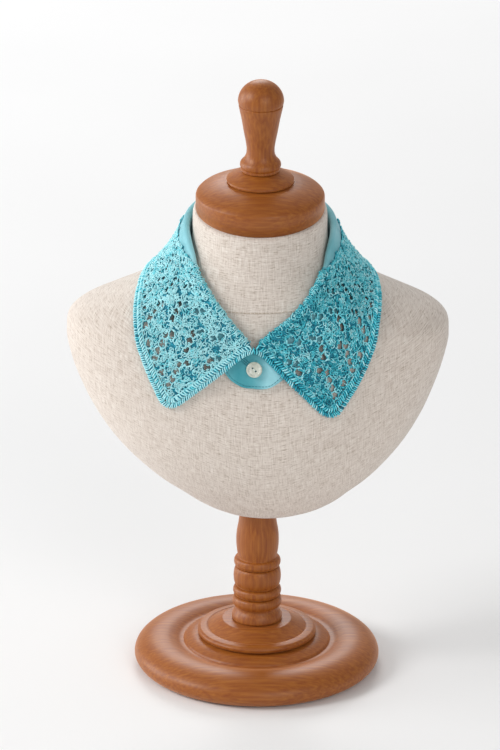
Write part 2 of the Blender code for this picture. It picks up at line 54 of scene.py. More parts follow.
SEAM = 0.3
FALL_WIDTH = 70.0
HALF_ROUND = 231.0
ROLL_RADIUS = 2.2
ROLL_STANDOFF = 5.0
ROLL_LENGTH = 5.5  # of cloth over the roll, from the fold's outer side to its inner side
STAND_TOP_STANDOFF = 2.8
STAND_FOOT_STANDOFF = 1.7
UNDERLAP_STANDOFF = 1.25
OVERLAP_STANDOFF = 3.0
FALL_OVER_STAND = 5.0
FALL_ON_FORM = 2.1
FALL_SAG = 3.5
STAND_DEPTH = 36.0
BORDER_WIDTH = 7.7
CORNER_RADIUS = 13.0
BORDER_START = -1.4  # its top end reaches up to the crest of the fold
STRIP_WIDTH = 11.5
STRIP_WIDTH_AT_THROAT = 3.0
STRIP_NARROWS = (120.0, 75.0)  # from how far round the neck, and over what length
LACE_CLIMBS = (112.0, 56.0)  # over the fold towards the throat, in the same terms
LACE_ON_STRIP = 1.1  # the lace's lift where it lies on the strip
EDGING_START = 148.0  # where the stitches over the fold begin, round the neck
COTTON = 1.1  # thickness of the folded cotton
BUTTON_RADIUS = 6.1
BUTTON_PLACE = (-3.6, -80.0, 276.1)
PAINTED_SIDE_LIGHT = {"right": 0.15, "left": -0.26}  # painted light and shade: the lace is painted paler towards the front of the half that faces the window light, and darker towards the other front
PAINTED_LIGHT_BY_FACING = 0.34  # painted light and shade: how much paler a thread is painted on its outer side, and darker on its underside, than on its edges
# The border's cords by their inset: half width, rise, pitch and slant of the stitches, the thread's radius.
BORDER_CORDS = {
    2.05: (1.6, 1.4, 1.55, 1.9, 0.48),
    5.75: (1.6, 1.45, 1.9, -2.3, 0.6),
}

NECK_CUT_HEIGHT = 378.0
NECK_CUT_SLOPE = math.tan(math.radians(8.7))
CAP_RADIUS = 49.2
CAP_LEAN = math.radians(3.0)
CAP_CREASE = 389.0
DISC_RISE = 10.4
FINIAL_RISE = 19.4
STEP_FLOOR = 25.6
POST_FLOOR = 37.6
POST_TOP = 135.7
# Rings of the post: lower and upper height, radius at their feet and at their bellies.
POST_BEADS = (
    (48.4, 57.0, 16.6, 19.3),
    (57.7, 64.9, 16.4, 18.8),
    (65.7, 81.4, 16.0, 18.5),
    (82.2, 89.2, 16.0, 18.2),
)

# Lace chart: hexagon net in rows from the neckline to the border. O is an open gap, + a cell closed by a
# cluster of stitches and # a cell of a flower, which has seven.
CHART = (
    "+##+",
    "###O",
    "+##O",
    "+O++",
    "#O+#",
    "#O##",
    "#+O#",
    "+++O",
    "+##O",
    "###O",
    "O##+",
    "O+O+",
)
FLOWERS = ((1, 1), (5, 3), (9, 1))  # row and first column of the flowers' middles
CHART_COLUMNS = 40
COLUMN_STEP = HALF_ROUND / CHART_COLUMNS
ROW_STEP = 4.9
CHART_START = 2.2
GAP_CLEARANCE = 3.1  # from a gap's middle to the lace's edges
GAP_RIM = 0.6  # of close stitches left round a gap

# Linen form: height, half width, depth to the front and to the back, squareness, sway to +X.
FORM_LEVELS = (
    (392.0, 51.2, 51.0, 50.5, 2.0, 0.0),
    (372.0, 51.3, 52.5, 51.0, 2.0, 0.0),
    (356.0, 51.8, 54.5, 52.5, 2.0, 0.0),
    (345.0, 54.0, 56.0, 54.5, 2.0, 0.0),
    (336.0, 60.5, 58.0, 56.5, 2.0, 0.0),
    (328.0, 72.0, 60.5, 59.5, 2.05, 0.0),
    (321.0, 87.0, 63.0, 61.5, 2.1, 0.0),
    (314.0, 103.5, 65.5, 63.5, 2.1, -0.2),
    (307.0, 120.5, 68.0, 65.5, 2.15, -0.5),
    (301.0, 134.0, 70.0, 67.5, 2.2, -0.8),
    (294.0, 143.0, 72.0, 69.0, 2.3, -1.0),
    (280.0, 146.5, 75.5, 70.5, 2.3, -1.1),
    (262.0, 143.5, 79.5, 71.0, 2.3, -1.1),
    (240.0, 136.0, 83.0, 70.5, 2.3, -0.6),
    (218.0, 125.8, 84.0, 68.5, 2.3, 0.4),
    (198.0, 113.0, 82.5, 65.0, 2.3, 1.6),
    (181.0, 98.7, 78.0, 60.0, 2.25, 3.0),
    (167.0, 84.3, 71.0, 54.0, 2.2, 4.4),
    (156.0, 70.5, 63.0, 47.5, 2.1, 5.6),
    (147.0, 58.3, 55.0, 41.0, 2.1, 6.5),
    (141.0, 48.0, 47.0, 34.0, 2.0, 6.5),
    (137.5, 38.0, 38.5, 28.0, 2.0, 5.0),
    (136.0, 28.0, 31.0, 22.0, 2.0, 3.0),
)

# Collar ribs from the centre back to the front edge: the roll, the fall's outer edge, the stand's foot.
RIBS_RIGHT_HAND = (
    ((0.0, 55.0, 373.0), (0.0, 70.0, 306.0), (0.0, 57.0, 343.0)),
    ((-28.0, 47.5, 372.5), (-40.0, 64.0, 304.0), (-30.0, 50.0, 342.0)),
    ((-47.0, 27.0, 369.5), (-70.0, 42.0, 310.0), (-50.0, 29.0, 340.0)),
    ((-54.0, 0.0, 363.0), (-87.0, 8.0, 320.0), (-59.0, 0.0, 336.0)),
    ((-52.2, -20.0, 354.0), (-93.0, -23.0, 317.0), (-59.0, -24.0, 327.0)),
    ((-44.5, -42.0, 334.8), (-93.5, -47.0, 301.0), (-55.0, -44.0, 311.0)),
    ((-28.8, -61.5, 314.0), (-86.0, -67.0, 271.0), (-41.0, -63.0, 288.5)),
    ((-5.1, -75.0, 289.3), (-70.8, -80.0, 237.0), (-20.0, -77.0, 266.0)),
)
RIBS_LEFT_HAND = (
    ((0.0, 55.0, 373.0), (0.0, 70.0, 306.0), (0.0, 57.0, 343.0)),
    ((28.0, 47.5, 372.5), (40.0, 64.0, 304.0), (30.0, 50.0, 342.0)),
    ((47.0, 27.0, 369.5), (70.0, 42.0, 310.0), (50.0, 29.0, 340.0)),
    ((54.0, 0.0, 363.0), (87.0, 8.0, 321.0), (59.0, 0.0, 336.0)),
    ((54.5, -20.0, 353.8), (92.0, -23.0, 318.0), (59.5, -24.0, 327.0)),
    ((47.2, -40.0, 337.5), (89.5, -47.0, 302.0), (56.5, -43.0, 311.0)),
    ((31.0, -60.5, 316.0), (78.5, -69.0, 267.0), (43.0, -62.0, 288.5)),
    ((-3.3, -75.0, 289.6), (55.9, -80.0, 231.0), (17.0, -78.0, 266.5)),
)
# The stand's buttoned ends: top and foot of each rib.
OVERLAP = (
    ((-4.0, -76.0, 288.0), (-12.0, -80.0, 262.0)),
    ((-1.0, -76.0, 286.5), (-3.0, -82.0, 261.6)),
    ((5.0, -76.0, 284.0), (8.0, -81.0, 262.0)),
    ((12.0, -76.0, 282.0), (18.0, -79.0, 270.0)),
)
UNDERLAP = (
    ((-1.5, -76.0, 287.0), (8.0, -81.0, 261.5)),
    ((-4.5, -76.0, 285.0), (-3.0, -82.0, 261.0)),
    ((-12.0, -76.0, 282.0), (-15.0, -79.0, 266.0)),
)

# ------------------------------------------------------------------ materials


def linear(hex_text):
    """An sRGB hex colour as linear RGBA."""
    parts = [int(hex_text[place : place + 2], 16) / 255 for place in (1, 3, 5)]
    parts = [part / 12.92 if part <= 0.04045 else ((part + 0.055) / 1.055) ** 2.4 for part in parts]
    return (*parts, 1.0)


def feed(tree, node, inputs):
    """Sets a node's inputs from values, or links them to sockets or to the first outputs of nodes."""
    for name, value in inputs.items():
        source = value.outputs[0] if isinstance(value, bpy.types.Node) else value
        if isinstance(source, bpy.types.NodeSocket):
            tree.links.new(source, node.inputs[name])
        else:
            node.inputs[name].default_value = source


def add(tree, kind, inputs=None, stops=(), **settings):
    """A node with its settings, its inputs and a ramp's stops: a colour is sRGB hex or a share of white."""
    node = tree.nodes.new("ShaderNode" + kind)
    for name, value in settings.items():
        setattr(node, name, value)
    feed(tree, node, inputs or {})
    for index, (place, colour) in enumerate(stops):
        elements = node.color_ramp.elements
        element = elements[index] if index < len(elements) else elements.new(place)
        element.position = place
        element.color = linear(colour) if isinstance(colour, str) else (colour, colour, colour, 1.0)
    return node


def reckon(tree, operation, *terms):
    return add(tree, "Math", dict(enumerate(terms)), operation=operation)


def noise(tree, place, scale, detail, roughness=0.5):
    return add(tree, "TexNoise", {"Vector": place, "Scale": scale, "Detail": detail, "Roughness": roughness})


def ramp(tree, share, *stops):
    return add(tree, "ValToRGB", {"Fac": share}, stops)


def relief(tree, height, strength, depth, **settings):
    """Bumps of a depth in millimetres."""
    return add(tree, "Bump", {"Height": height, "Strength": strength, "Distance": depth * MM}, **settings)


def plain_weave(tree, uv, pitch):
    """The height of threads that cross over and under, a pitch in millimetres apart both ways."""
    split = add(tree, "SeparateXYZ", {"Vector": uv})
    turns = [reckon(tree, "MULTIPLY", split.outputs[axis], 2 * math.pi / (pitch * MM)) for axis in ("X", "Y")]
    return reckon(tree, "MULTIPLY", *(reckon(tree, "SINE", turn) for turn in turns))


def start_material(name):
    """A material, its tree, and the places in the object and on its UV map, both in metres."""
    material = bpy.data.materials.new(name)
    material.use_nodes = True
    place = add(material.node_tree, "TexCoord")
    return material, material.node_tree, place.outputs["Object"], place.outputs["UV"]


def shaded(material, colour, **looks):
    """The material with its colour and the shader's other inputs, named with _ for each space."""
    tree = material.node_tree
    inputs = {name.replace("_", " "): value for name, value in looks.items()}
    feed(tree, tree.nodes["Principled BSDF"], {"Base Color": colour, **inputs})
    return material


def make_crochet_thread():
    """Mercerised crochet cotton, plied and dyed turquoise, with painted shade deep in its crevices and
    painted highlight on its outer side.
    """
    material, tree, place, uv = start_material("mercerised_crochet_cotton")
    # the tone is each thread's own tone with painted light and shade added: paler on its outer side and
    # towards the lit front, darker in its crevices and towards the other front
    tone = add(tree, "Attribute", attribute_name="tone").outputs["Fac"]
    # 2.5 mm: the dye took unevenly from stitch to stitch
    patch = noise(tree, place, 1 / (2.5 * MM), 3.0)
    # so the palest stops give painted highlight and the deepest give painted shade
    stops = ((0.08, "#045c73"), (0.34, "#0e96ae"), (0.58, "#34c8da"), (0.8, "#7ceaf5"), (1.0, "#bcf9ff"))
    shade = ramp(tree, reckon(tree, "MULTIPLY_ADD", patch, 0.5, tone), *stops)
    # two plies twisted once in 1.1 mm
    split = add(tree, "SeparateXYZ", {"Vector": uv})
    along = reckon(tree, "MULTIPLY", split.outputs["Y"], 1 / (1.1 * MM))
    twist = reckon(tree, "MULTIPLY_ADD", split.outputs["X"], 2.0, along)
    ply = reckon(tree, "SINE", reckon(tree, "MULTIPLY", twist, 2 * math.pi))
    bump = relief(tree, ply, 0.5, 0.06)
    return shaded(material, shade, Normal=bump, Roughness=0.38, Specular_IOR_Level=0.55)


def make_crochet_ground():
    """The close stitches behind the threads: the same cotton, painted dark for the shade of what lies over
    it, and darker still between its stitches for painted shade there.
    """
    material, tree, place, _ = start_material("close_crochet_stitches")
    # stitches 1.2 mm apart
    cells = add(tree, "TexVoronoi", {"Vector": place, "Scale": 1 / (1.2 * MM)})
    shade = ramp(tree, cells, (0.0, "#35bbcf"), (0.4, "#1a97b0"), (0.75, "#0a677e"))
    return shaded(material, shade, Normal=relief(tree, cells, 0.9, 0.5, invert=True), Roughness=0.7)


def make_poplin():
    """Turquoise cotton poplin, pressed: a fine even weave, matt with a little bloom on the fold."""
    material, tree, place, uv = start_material("turquoise_cotton_poplin")
    cloth = noise(tree, place, 1 / (18 * MM), 4.0)
    # painted light and shade across the collar's 130 mm: a painted highlight on the strip towards -X, a
    # painted shadow of the lace's front edge on the overlap just to -X of the button, and painted light on
    # the overlap to +X of it
    split = add(tree, "SeparateXYZ", {"Vector": place})
    across = reckon(tree, "MULTIPLY_ADD", split.outputs["X"], 1 / (130 * MM), 0.5)
    stops = ((0.05, 0.55), (0.22, 0.4), (0.38, 0.0), (0.46, 0.1), (0.56, 0.62), (0.75, 0.35))
    painted_light = ramp(tree, across, *stops)
    # the painted light and shade lie only at the front: even from the sides to the back
    front = add(tree, "MapRange", {"Value": split.outputs["Y"], "From Min": -10 * MM, "From Max": -40 * MM})
    painted_light_at_front = add(tree, "Mix", {0: front, 2: 0.4, 3: painted_light}, data_type="FLOAT")
    mottled_painted_light = reckon(tree, "MULTIPLY_ADD", cloth, 0.4, painted_light_at_front)
    shade = ramp(tree, mottled_painted_light, (0.15, "#2f95a2"), (0.35, "#5cb0bb"), (0.55, "#77bfca"), (0.8, "#9edce6"))
    # threads 0.5 mm apart, a little coarser than poplin's so that they show
    bump = relief(tree, plain_weave(tree, uv, 0.5), 0.25, 0.08)
    return shaded(material, shade, Normal=bump, Roughness=0.78, Sheen_Weight=0.3, Sheen_Roughness=0.5)


def make_sewing_thread(name, colour):
    """Spun sewing thread, fine and matt, worn paler and darker every 0.8 mm."""
    material, tree, place, _ = start_material(name)
    worn = reckon(tree, "MULTIPLY_ADD", noise(tree, place, 1 / (0.8 * MM), 2.0), 0.5, 0.75)
    shade = add(tree, "HueSaturation", {"Color": linear(colour), "Value": worn})
    return shaded(material, shade, Roughness=0.6)


def make_linen():
    """Natural linen, plain woven from uneven yarn: slubs both ways and brown flecks of stalk."""
    material, tree, _, uv = start_material("natural_slub_linen")
    # yarns run 11 mm long one way and are 0.9 mm wide the other
    yarns = []
    for long, high in ((11, 0.9), (0.9, 11)):
        stretch = add(tree, "Mapping", {"Vector": uv, "Scale": (1 / (long * MM), 1 / (high * MM), 1.0)})
        yarns.append(noise(tree, stretch, 1.0, 2.5, 0.6))
    woven = reckon(tree, "ADD", *yarns)
    stops = ((0.34, "#bfb0a1"), (0.45, "#d8cbc0"), (0.55, "#e4d9ce"), (0.66, "#f1e8e0"))
    shade = ramp(tree, reckon(tree, "MULTIPLY", woven, 0.5), *stops)
    # flecks of stalk: dashes along either yarn, from where in the noise they start
    for long, high, start in ((4.5, 0.8, 0.6), (0.7, 3.8, 0.67)):
        scale = (1 / (long * MM), 1 / (high * MM), 1.0)
        shift = (3.1 * scale[0] * MM, 0.0, 2.0)
        stretch = add(tree, "Mapping", {"Vector": uv, "Scale": scale, "Location": shift})
        share = ramp(tree, noise(tree, stretch, 1.0, 1.5), (start, 0.0), (start + 0.1, 0.55))
        mix = add(tree, "Mix", {"Factor": share, 6: shade, 7: linear("#8a6f52")}, data_type="RGBA")
        shade = mix.outputs[2]
    # the weave itself, a yarn every 0.7 mm
    height = reckon(tree, "MULTIPLY_ADD", plain_weave(tree, uv, 0.7), 0.25, woven)
    return shaded(material, shade, Normal=relief(tree, height, 0.45, 0.25), Roughness=0.88, Sheen_Weight=0.2)


def make_varnished_wood(name, along):
    """Stained beech under satin varnish, its grain along the given axis: the turning's length or its face."""
    material, tree, place, _ = start_material(name)
    # the grain is 1.8 mm wide and 50 mm long, and its pores are a seventh of that
    scale = [1 / (1.8 * MM)] * 3
    scale[along] = 1 / (50 * MM)
    stretch = add(tree, "Mapping", {"Vector": place, "Scale": scale})
    grain = noise(tree, stretch, 1.0, 5.0, 0.55)
    mixed = reckon(tree, "MULTIPLY_ADD", noise(tree, stretch, 7.0, 2.0), 0.22, grain)
    return shaded(
        material,
        ramp(tree, mixed, (0.4, "#88430b"), (0.56, "#944f10"), (0.68, "#9e5917"), (0.84, "#a9651f")),
        Normal=relief(tree, mixed, 0.05, 0.2),
        Roughness=0.48,
        Specular_IOR_Level=0.4,
        Coat_Weight=0.2,
        Coat_Roughness=0.35,
        Sheen_Weight=0.5,
        Sheen_Roughness=0.35,
        Sheen_Tint=linear("#ffb98a"),
    )


def make_shell():
    """Polished river shell: cream, clouded every 4 mm, with a wet gloss."""
    material, tree, place, _ = start_material("polished_river_shell")
    cloud = noise(tree, place, 1 / (4 * MM), 3.0)
    shade = ramp(tree, cloud, (0.3, "#b3b9a9"), (0.55, "#cdd1c4"), (0.8, "#e8ebe3"))
    return shaded(material, shade, Roughness=0.22, Coat_Weight=0.4, Coat_Roughness=0.08)


def make_studio_paper():
    """Matt white paper of the studio floor."""
    material, tree, place, _ = start_material("white_studio_paper")
    shade = ramp(tree, noise(tree, place, 3.0, 2.0), (0.3, "#f5f5f5"), (0.7, "#f7f7f7"))
    return shaded(material, shade, Roughness=0.9, Specular_IOR_Level=0.2)


# ------------------------------------------------------------------ lines and curves


def walked_along(points):
    """The way walked along a line, at each of its points."""
    return np.concatenate([[0], np.cumsum(np.linalg.norm(np.diff(points, axis=0), axis=1))])


def read_at(at, places, rows):
    """Rows of numbers read straight between the places at which they stand."""
    return np.stack([np.interp(at, places, column) for column in np.transpose(rows)], axis=1)


def smooth_step(share):
    """A share from 0 to 1, made level at both ends."""
    share = np.clip(share, 0, 1)
    return share**2 * (3 - 2 * share)


def heading(angle):
    return np.array([math.cos(angle), math.sin(angle)])


def square_to(ahead):
    """The way to the left of a flat heading."""
    return np.array([-ahead[1], ahead[0]])


def blended(start, start_slope, end, end_slope, part):
    """A cubic from the start to the end with a slope at each."""
    return (
        start * (2 * part**3 - 3 * part**2 + 1)
        + start_slope * (part**3 - 2 * part**2 + part)
        + end * (3 * part**2 - 2 * part**3)
        + end_slope * (part**3 - part**2)
    )


def smooth_at(at, places, rows):
    """Rows of numbers read on smooth curves through them."""
    slopes = np.gradient(rows, places, axis=0)
    low = np.clip(np.searchsorted(places, at) - 1, 0, len(places) - 2)
    span = (places[low + 1] - places[low])[..., None]
    part = (at - places[low])[..., None] / span
    return blended(rows[low], slopes[low] * span, rows[low + 1], slopes[low + 1] * span, part)


def smooth_through(rows, count):
    """Points on a smooth curve through rows of numbers, evenly spread along it."""
    rows = np.asarray(rows, float)
    walked = walked_along(rows)
    return smooth_at(np.linspace(0, walked[-1], count), walked, rows)


# ------------------------------------------------------------------ pieces


def mesh_from(name, build):
    mesh = bpy.data.meshes.new(name)
    build.to_mesh(mesh)
    build.free()
    return mesh


def linked(name, data):
    thing = bpy.data.objects.new(name, data)
    bpy.context.scene.collection.objects.link(thing)
    return thing


def finished(name, mesh, material, replaces=(), smooth_angle=50.0):
    """A piece from a mesh: its object, finish, body, slot and the nodes that it stands for."""
    mesh.materials.clear()
    mesh.materials.append(material)
    mesh.shade_smooth()
    if smooth_angle:
        mesh.set_sharp_from_angle(angle=math.radians(smooth_angle))
    piece = linked(name, mesh)
    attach(piece, "root")
    if replaces:
        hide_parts(*replaces)
    return piece


def sheet_from(name, columns, rows, place, material, replaces=(), thickness=0.0, closed=False):
    """A sheet from a grid: place(across, down) gives points in millimetres for shares from 0 to 1.

    Its UV map is in metres along the cloth both ways, so that a weave keeps its size.
    """
    build = bmesh.new()
    bmesh.ops.create_grid(build, x_segments=columns, y_segments=rows, size=0.5, calc_uvs=True)
    build.verts.ensure_lookup_table()
    flat = np.array([vertex.co[:2] for vertex in build.verts]) + 0.5
    points = place(flat[:, 0], flat[:, 1])
    order = np.lexsort((np.round(flat[:, 0], 6), np.round(flat[:, 1], 6)))
    grid = points[order].reshape(rows + 1, columns + 1, 3)
    across = np.cumsum(np.linalg.norm(np.diff(grid, axis=1, prepend=grid[:, :1]), axis=2), axis=1)
    across -= across[:, (columns + 1) // 2][:, None]
    down = np.cumsum(np.linalg.norm(np.diff(grid, axis=0, prepend=grid[:1]), axis=2), axis=0)
    lengths = np.empty((len(flat), 2))
    lengths[order] = np.stack([across.reshape(-1), down.reshape(-1)], axis=1)
    layer = build.loops.layers.uv.verify()
    for vertex, point, length in zip(build.verts, points, lengths):
        vertex.co = Vector(point) * MM
        for loop in vertex.link_loops:
            loop[layer].uv = (length[0] * MM, length[1] * MM)
    if closed:
        bmesh.ops.remove_doubles(build, verts=build.verts, dist=0.01 * MM)
        bmesh.ops.recalc_face_normals(build, faces=build.faces)
    else:
        thicken(build, thickness)
    return finished(name, mesh_from(name, build), material, replaces)


def thicken(build, thickness):
    """An open sheet over the form becomes a wall: its outer side stays and its inner side lies further in."""
    bmesh.ops.recalc_face_normals(build, faces=build.faces)
    middles = np.array([face.calc_center_median() for face in build.faces]) / MM
    facing = np.array([face.normal * face.calc_area() for face in build.faces])
    if np.sum(facing * skin_normal(middles)[0]) < 0:
        bmesh.ops.reverse_faces(build, faces=build.faces)
    bmesh.ops.solidify(build, geom=build.faces, thickness=thickness * MM)


def yarn_from(name, strands, material, replaces=(), sides=4):
    """Threads as one joined mesh. A strand is (points in metres, radius in millimetres, tone, way out).

    The tone runs from 0 to 1; painted light makes it paler on the side that faces out of the cloth, and
    painted shade makes it darker in its crevices.
    """
    curve = bpy.data.curves.new(name, "CURVE")
    curve.dimensions = "3D"
    curve.bevel_depth = MM
    curve.bevel_resolution = (sides - 4) // 2
    curve.use_fill_caps = True
    for points, radius, _, _ in strands:
        spline = curve.splines.new("POLY")
        spline.points.add(len(points) - 1)
        spline.points.foreach_set("co", np.column_stack([points, np.ones(len(points))]).ravel())
        spline.points.foreach_set("radius", np.broadcast_to(radius, len(points)).astype(float))
    holder = bpy.data.objects.new(name + "_line", curve)
    mesh = bpy.data.meshes.new_from_object(holder)
    bpy.data.objects.remove(holder)
    bpy.data.curves.remove(curve)
    counts = np.array([len(strand[0]) for strand in strands])
    spare = (len(mesh.vertices) - sides * counts.sum()) // len(strands)
    # the ends' caps come first, the last strand's before the others', and then the tubes in order
    order = np.arange(len(strands))
    owner = np.concatenate([np.repeat(order[::-1], spare), np.repeat(order, counts * sides)])
    tones = np.array([strand[2] for strand in strands])[owner]
    outward = np.array([strand[3] for strand in strands])[owner]
    facing = np.zeros(len(owner) * 3, np.float32)
    mesh.vertex_normals.foreach_get("vector", facing)
    # painted light and shade: paler where the tube faces out of the cloth, darker where it faces in
    tones += PAINTED_LIGHT_BY_FACING * np.sum(facing.reshape(-1, 3) * outward, axis=1)
    tone = mesh.attributes.new("tone", "FLOAT", "POINT")
    tone.data.foreach_set("value", tones.astype(np.float32))
    lengths = np.array([np.linalg.norm(np.diff(strand[0], axis=0), axis=1).sum() for strand in strands])
    corners = np.zeros(len(mesh.loops), np.int32)
    mesh.loops.foreach_get("vertex_index", corners)
    uv = np.zeros(len(mesh.loops) * 2, np.float32)
    mesh.uv_layers[0].data.foreach_get("uv", uv)
    uv = uv.reshape(-1, 2)
    uv[:, 1] *= lengths[owner[corners]]
    mesh.uv_layers[0].data.foreach_set("uv", uv.ravel())
    build = bmesh.new()
    build.from_mesh(mesh)
    bmesh.ops.remove_doubles(build, verts=build.verts, dist=0.0005 * MM)
    build.to_mesh(mesh)
    build.free()
    return finished(name, mesh, material, replaces, 0.0)


def stitch(points, out=FORWARD):
    """A sewn stitch in thread 0.4 mm thick, from points in millimetres."""
    return points * MM, 0.2, 0.5, out


def lathe(profile, steps, place, corner=0.7):
    """A bmesh turned from (radius, height) pairs, its sharp corners rounded, and then put in its place."""
    build = bmesh.new()
    points = [build.verts.new((radius * MM, 0.0, height * MM)) for radius, height in rounded(profile, corner)]
    edges = [build.edges.new(pair) for pair in zip(points, points[1:])]
    circle = {"cent": (0, 0, 0), "axis": (0, 0, 1), "angle": 2 * math.pi, "steps": steps}
    bmesh.ops.spin(build, geom=points + edges, use_merge=True, **circle)
    bmesh.ops.remove_doubles(build, verts=build.verts, dist=0.001 * MM)
    bmesh.ops.recalc_face_normals(build, faces=build.faces)
    bmesh.ops.transform(build, matrix=place, verts=build.verts)
    return build


def turned(name, profile, material, steps, node, place=Matrix.Identity(4)):
    """A piece of the stand, turned from wood."""
    mesh = mesh_from(name, lathe(profile, steps, place))
    return finished(name, mesh, material, (node,), 32.0)


def rounded(profile, radius):
    """The profile with each sharp corner replaced by an arc, at most a third of its shorter side."""
    points = [np.array(point, float) for point in profile]
    out = [points[0]]
    for before, corner, after in zip(points, points[1:], points[2:]):
        back, ahead = before - corner, after - corner
        back_length, ahead_length = np.linalg.norm(back), np.linalg.norm(ahead)
        if -(back @ ahead) > 0.9 * back_length * ahead_length:
            out.append(corner)
            continue
        reach = min(radius, back_length / 3, ahead_length / 3)
        start, end = corner + back / back_length * reach, corner + ahead / ahead_length * reach
        for share in (0.0, 0.33, 0.67, 1.0):
            out.append((1 - share) ** 2 * start + 2 * share * (1 - share) * corner + share**2 * end)
    return [tuple(point) for point in out + [points[-1]]]


# ------------------------------------------------------------------ the linen form

LEVEL_HEIGHTS = np.array([level[0] for level in FORM_LEVELS][::-1])
LEVEL_VALUES = np.array([level[1:] for level in FORM_LEVELS][::-1])


def level_at(height):
    """Half width, front, back, squareness and sway at a height, on smooth curves through the rows."""
    return smooth_at(np.clip(height, LEVEL_HEIGHTS[0], LEVEL_HEIGHTS[-1]), LEVEL_HEIGHTS, LEVEL_VALUES)


def form_section(points):
    """How far out each point lies: 0 on the form's skin, in parts of its section's radius."""
    half, front, back, power, sway = np.moveaxis(level_at(points[:, 2]), -1, 0)
    across = np.abs(points[:, 0] - sway) / half
    along = np.abs(points[:, 1]) / np.where(points[:, 1] < 0, front, back)
    return (across**power + along**power) ** (1 / power) - 1


def skin_normal(points):
    """The form's outward normal near each point and the point's distance from its skin."""
    step = 0.05
    slopes = [form_section(points + step * axis) - form_section(points - step * axis) for axis in np.eye(3)]
    slope = np.stack(slopes, axis=1) / (2 * step)
    length = np.linalg.norm(slope, axis=1)
    return slope / length[:, None], form_section(points) / length


def stood_off(points, distance):
    """Points moved along the form's normal until they stand at a distance from its skin."""
    points = np.array(points, float)
    for _ in range(6):
        normal, gap = skin_normal(points)
        points += normal * (distance - gap)[:, None]
    return points


def pushed_clear(points, distance):
    """Points nearer the form than a distance moved out to it, the others left where they are."""
    points = np.array(points, float)
    for _ in range(6):
        normal, gap = skin_normal(points)
        points += normal * np.maximum(distance - gap, 0)[:, None]
    return points


def neck_cut(y):
    return NECK_CUT_HEIGHT + NECK_CUT_SLOPE * y


def form_ring(turn, height):
    """Points of the form's skin at angles round it, 0 at the middle of the back, and at heights."""
    half, front, back, power, sway = np.moveaxis(level_at(height), -1, 0)
    side, ahead = np.sin(turn), np.cos(turn)
    x = sway + half * np.sign(side) * np.abs(side) ** (2 / power)
    y = np.where(ahead < 0, front, back) * np.sign(ahead) * np.abs(ahead) ** (2 / power)
    return np.stack([x, y, height], axis=1)


def build_form(linen, seam_thread):
    """The linen neck form, with the neck panel's seam: a line of short stitches over a fine ridge."""
    below_cut = 362.0
    rings = ((below_cut, 290, 56), (288, 160, 52), (158, 136, 22))
    heights = np.concatenate([np.linspace(*ring) for ring in rings])
    neck_rows = 10  # from the sloping cut down to the first level ring
    rows = neck_rows + len(heights)
    edge_inset = 1 - (CAP_RADIUS + 0.2) / LEVEL_VALUES[-1][0]  # the linen is drawn in under the cap

    def place(across, down):
        turn = across * 2 * math.pi
        row = np.round(down * rows).astype(int)
        points = form_ring(turn, heights[np.clip(row - neck_rows, 0, len(heights) - 1)])
        share = np.clip((row - 1) / (neck_rows - 1), 0, 1) ** 1.9
        neck = row < neck_rows
        shoulder = 1 - edge_inset * np.exp(-share * 16.0 / 1.5)  # over the first 1.5 of about 16 mm
        points[neck, :2] *= shoulder[neck, None]
        cut = neck_cut(points[:, 1]) - SEAM
        points[neck, 2] = (cut + (below_cut - cut) * share)[neck]
        points[(row == 0) | (row == rows), :2] = 0.0
        points[row == 0, 2] = neck_cut(0.0) - SEAM
        return points

    sheet_from("linen_form", 144, rows, place, linen, ("bust_form",), closed=True)
    turns = np.linspace(0, 2 * math.pi, 361)
    height = 315.0 + 26.0 * (1 - np.abs(np.cos(turns))) + 6.0 * (1 + np.cos(turns)) + np.sin(turns)
    line = stood_off(form_ring(turns, height), np.full(len(turns), -0.05))
    yarn_from("neck_panel_ridge", [(line * MM, 0.28, 0.4, FORWARD)], linen)
    walked = walked_along(line)
    strands = []
    for start in np.arange(0, walked[-1] - 2.4, 2.9):
        points = read_at(np.linspace(start, start + 2.0, 5), walked, line)
        lift = 0.1 + 0.22 * np.sin(np.linspace(0, math.pi, 5))
        strands.append(stitch(stood_off(points + np.array([0, 0, 0.75]), lift)))
    yarn_from("neck_panel_stitches", strands, seam_thread)


# ------------------------------------------------------------------ the collar's lie


